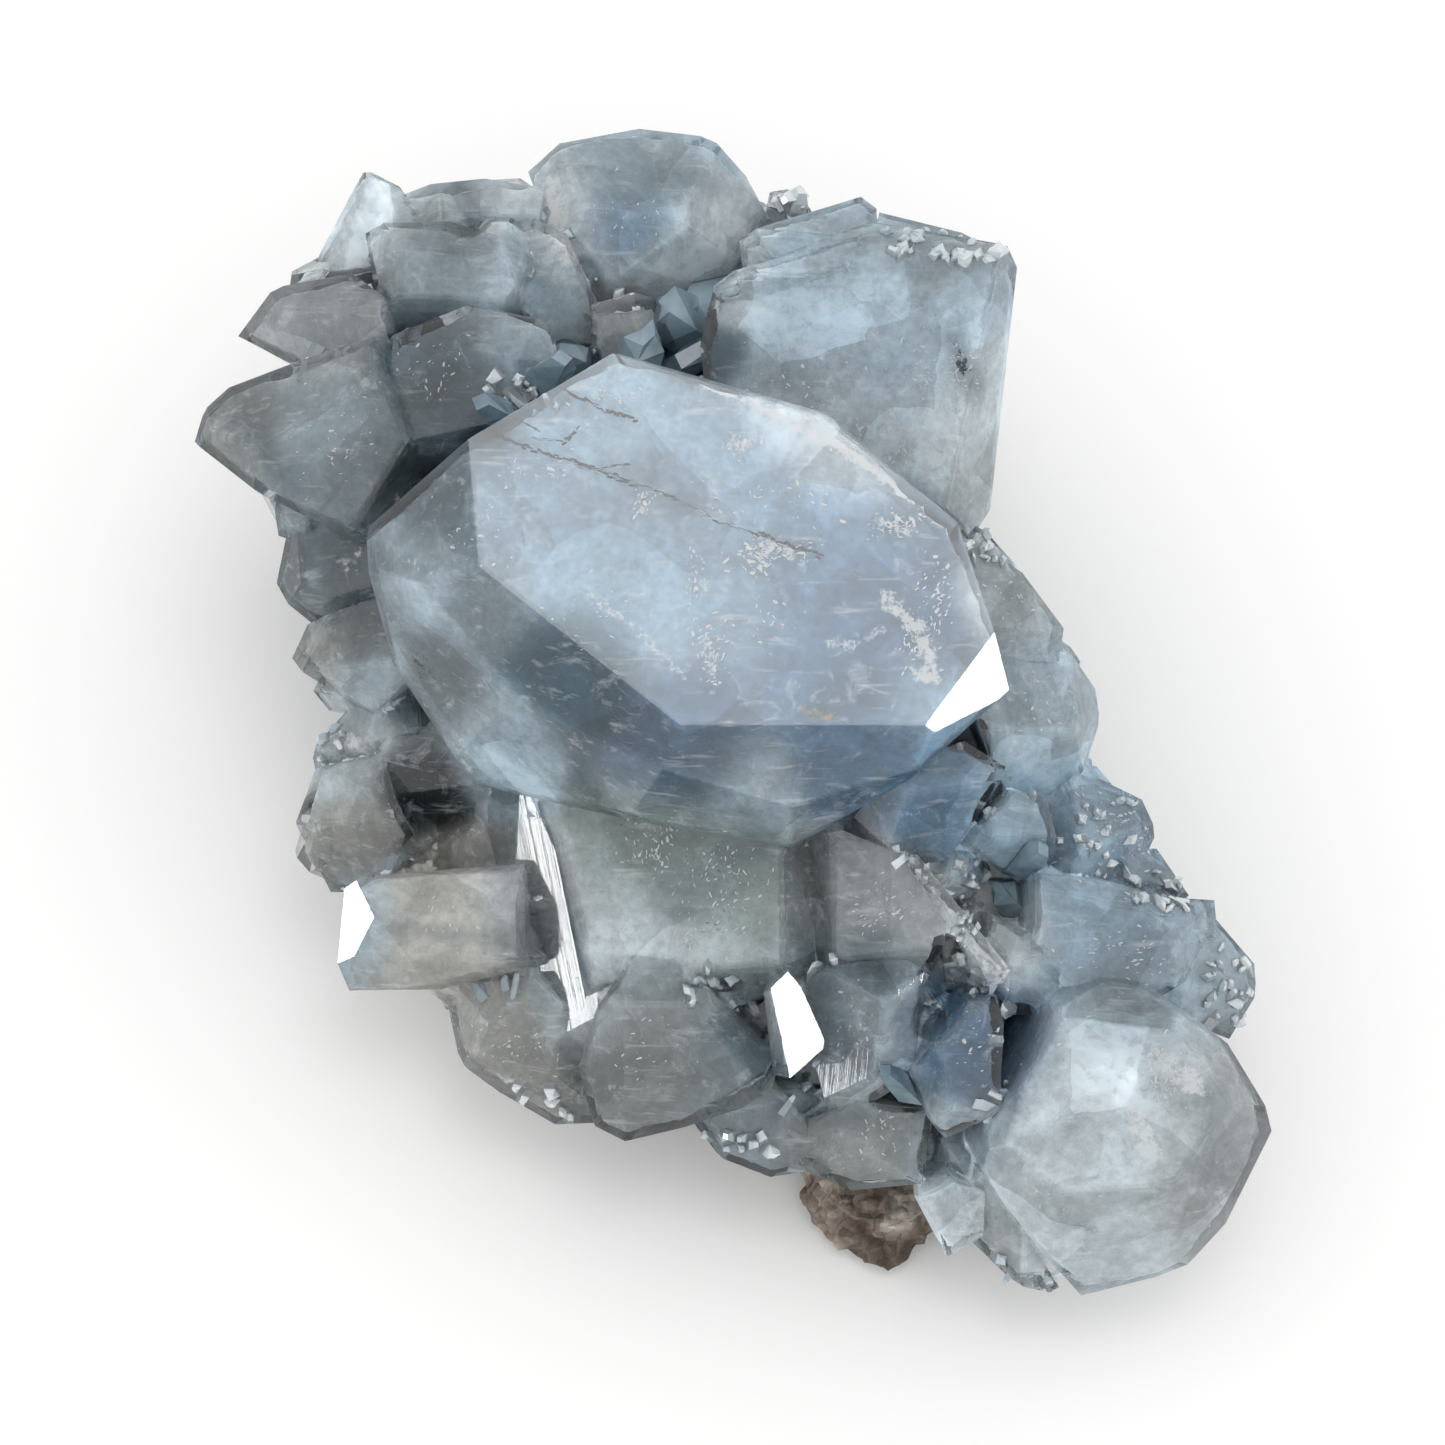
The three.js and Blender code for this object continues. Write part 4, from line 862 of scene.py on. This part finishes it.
solid_mesh = to_mesh(flat_faced_copy("matrix"), "matrix_solid")
solid = new_object("matrix_solid", solid_mesh, crystals.data.materials[0])
even = solid.modifiers.new("even", "REMESH")
even.mode = "VOXEL"
even.voxel_size = ROCK_VOXEL * MM
rock_mesh = evaluated_mesh(solid)
bpy.data.objects.remove(solid)
inward = [-vertex.normal for vertex in rock_mesh.vertices]
for vertex, way in zip(rock_mesh.vertices, inward):
    rough = ROCK_START + LUMP_HEIGHT * noise.noise(vertex.co * LUMP_WAVES)
    rough += PIT_HEIGHT * noise.noise(vertex.co * PIT_WAVES)
    vertex.co += way * max(0, rough) * ROCK_ROUGH * MM
    vertex.co.z = max(0, vertex.co.z)
rock = new_object("limestone_matrix", rock_mesh, broken_limestone())
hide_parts("matrix")
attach(rock, "root")


# Floor and light: a pale table under a white dome, one softbox overhead, and small softboxes that
# flash in the faces that are mirrors in the photo.
FLOOR_HALF = 3
WHITE_SKY = 1.0
OVERHEAD_BOX = 0.35
OVERHEAD_AWAY = 0.9
OVERHEAD_GLOW = 2.6
FLASH_AWAY = 0.8
EXPOSURE = 0.18
# Each flash: the place that mirrors it, how that face falls to the right and upward, its size in m
# and its glow.
FLASH_BOXES = {
    "flash_main": ((18, 3, 42), (0.53, -0.21), 0.10, 20),
    "flash_rectangle": ((5.2, -21, 33.3), (0.32, -0.12), 0.08, 20),
    "flash_prism": ((-25.6, -14, 28.6), (-0.6, 0.15), 0.07, 18),
    "flash_strip": ((-11.6, -15, 28), (-0.5, -0.15), 0.1, 14),
}


def mirrored_in(spot, falls):
    """The way that a face of those falls to the right and upward throws the eye's line."""
    turn = Matrix.Rotation(LEAN, 3, "X")
    normal = (turn @ Vector((*falls, 1))).normalized()
    to_eye = (camera.location - on_face(*spot)).normalized()
    return 2 * normal.dot(to_eye) * normal - to_eye


def softbox(name, spot, falls, away, size, glow):
    """A round softbox of the radiance glow, seen mirrored in one face of the cluster."""
    lamp = bpy.data.lights.new(name, "AREA")
    lamp.shape = "DISK"
    lamp.size = size
    lamp.energy = glow * math.pi * math.pi * (size / 2) ** 2
    box = bpy.data.objects.new(name, lamp)
    look_from(box, on_face(*spot) + mirrored_in(spot, falls) * away, on_face(*spot))
    box.visible_camera = False
    return box


bm = bmesh.new()
bmesh.ops.create_grid(bm, x_segments=1, y_segments=1, size=FLOOR_HALF)
material, tree, output = new_material("pale_paper")
shader = add_node(tree, "ShaderNodeBsdfPrincipled", {
    "Base Color": linear("#f4f4f3"), "Roughness": 0.9, "Specular IOR Level": 0.1,
})
tree.links.new(shader.outputs["BSDF"], output.inputs["Surface"])
floor = new_object("floor", to_mesh(bm, "floor"), material)

world = bpy.data.worlds.new("white_room")
scene.world = world
world.use_nodes = True
world.node_tree.nodes["Background"].inputs["Color"].default_value = linear("#ffffff")
world.node_tree.nodes["Background"].inputs["Strength"].default_value = WHITE_SKY

softbox("overhead", (0, 12, 42), (0.05, 0.15), OVERHEAD_AWAY, OVERHEAD_BOX, OVERHEAD_GLOW)
for name, (spot, falls, size, glow) in FLASH_BOXES.items():
    flash = softbox(name, spot, falls, FLASH_AWAY, size, glow)
    flash.visible_diffuse = False
    flash.visible_transmission = False

scene.view_settings.view_transform = "Standard"
scene.view_settings.exposure = EXPOSURE

# Light passes several clear faces on its way in and out, and is milky inside, so the bounces of
# clear and glossy faces stay high and the milky ones low. One white room needs no light tree.
scene.cycles.max_bounces = 10
scene.cycles.transmission_bounces = 10
scene.cycles.glossy_bounces = 8
scene.cycles.diffuse_bounces = 2
scene.cycles.use_light_tree = False


bpy.context.view_layer.update()
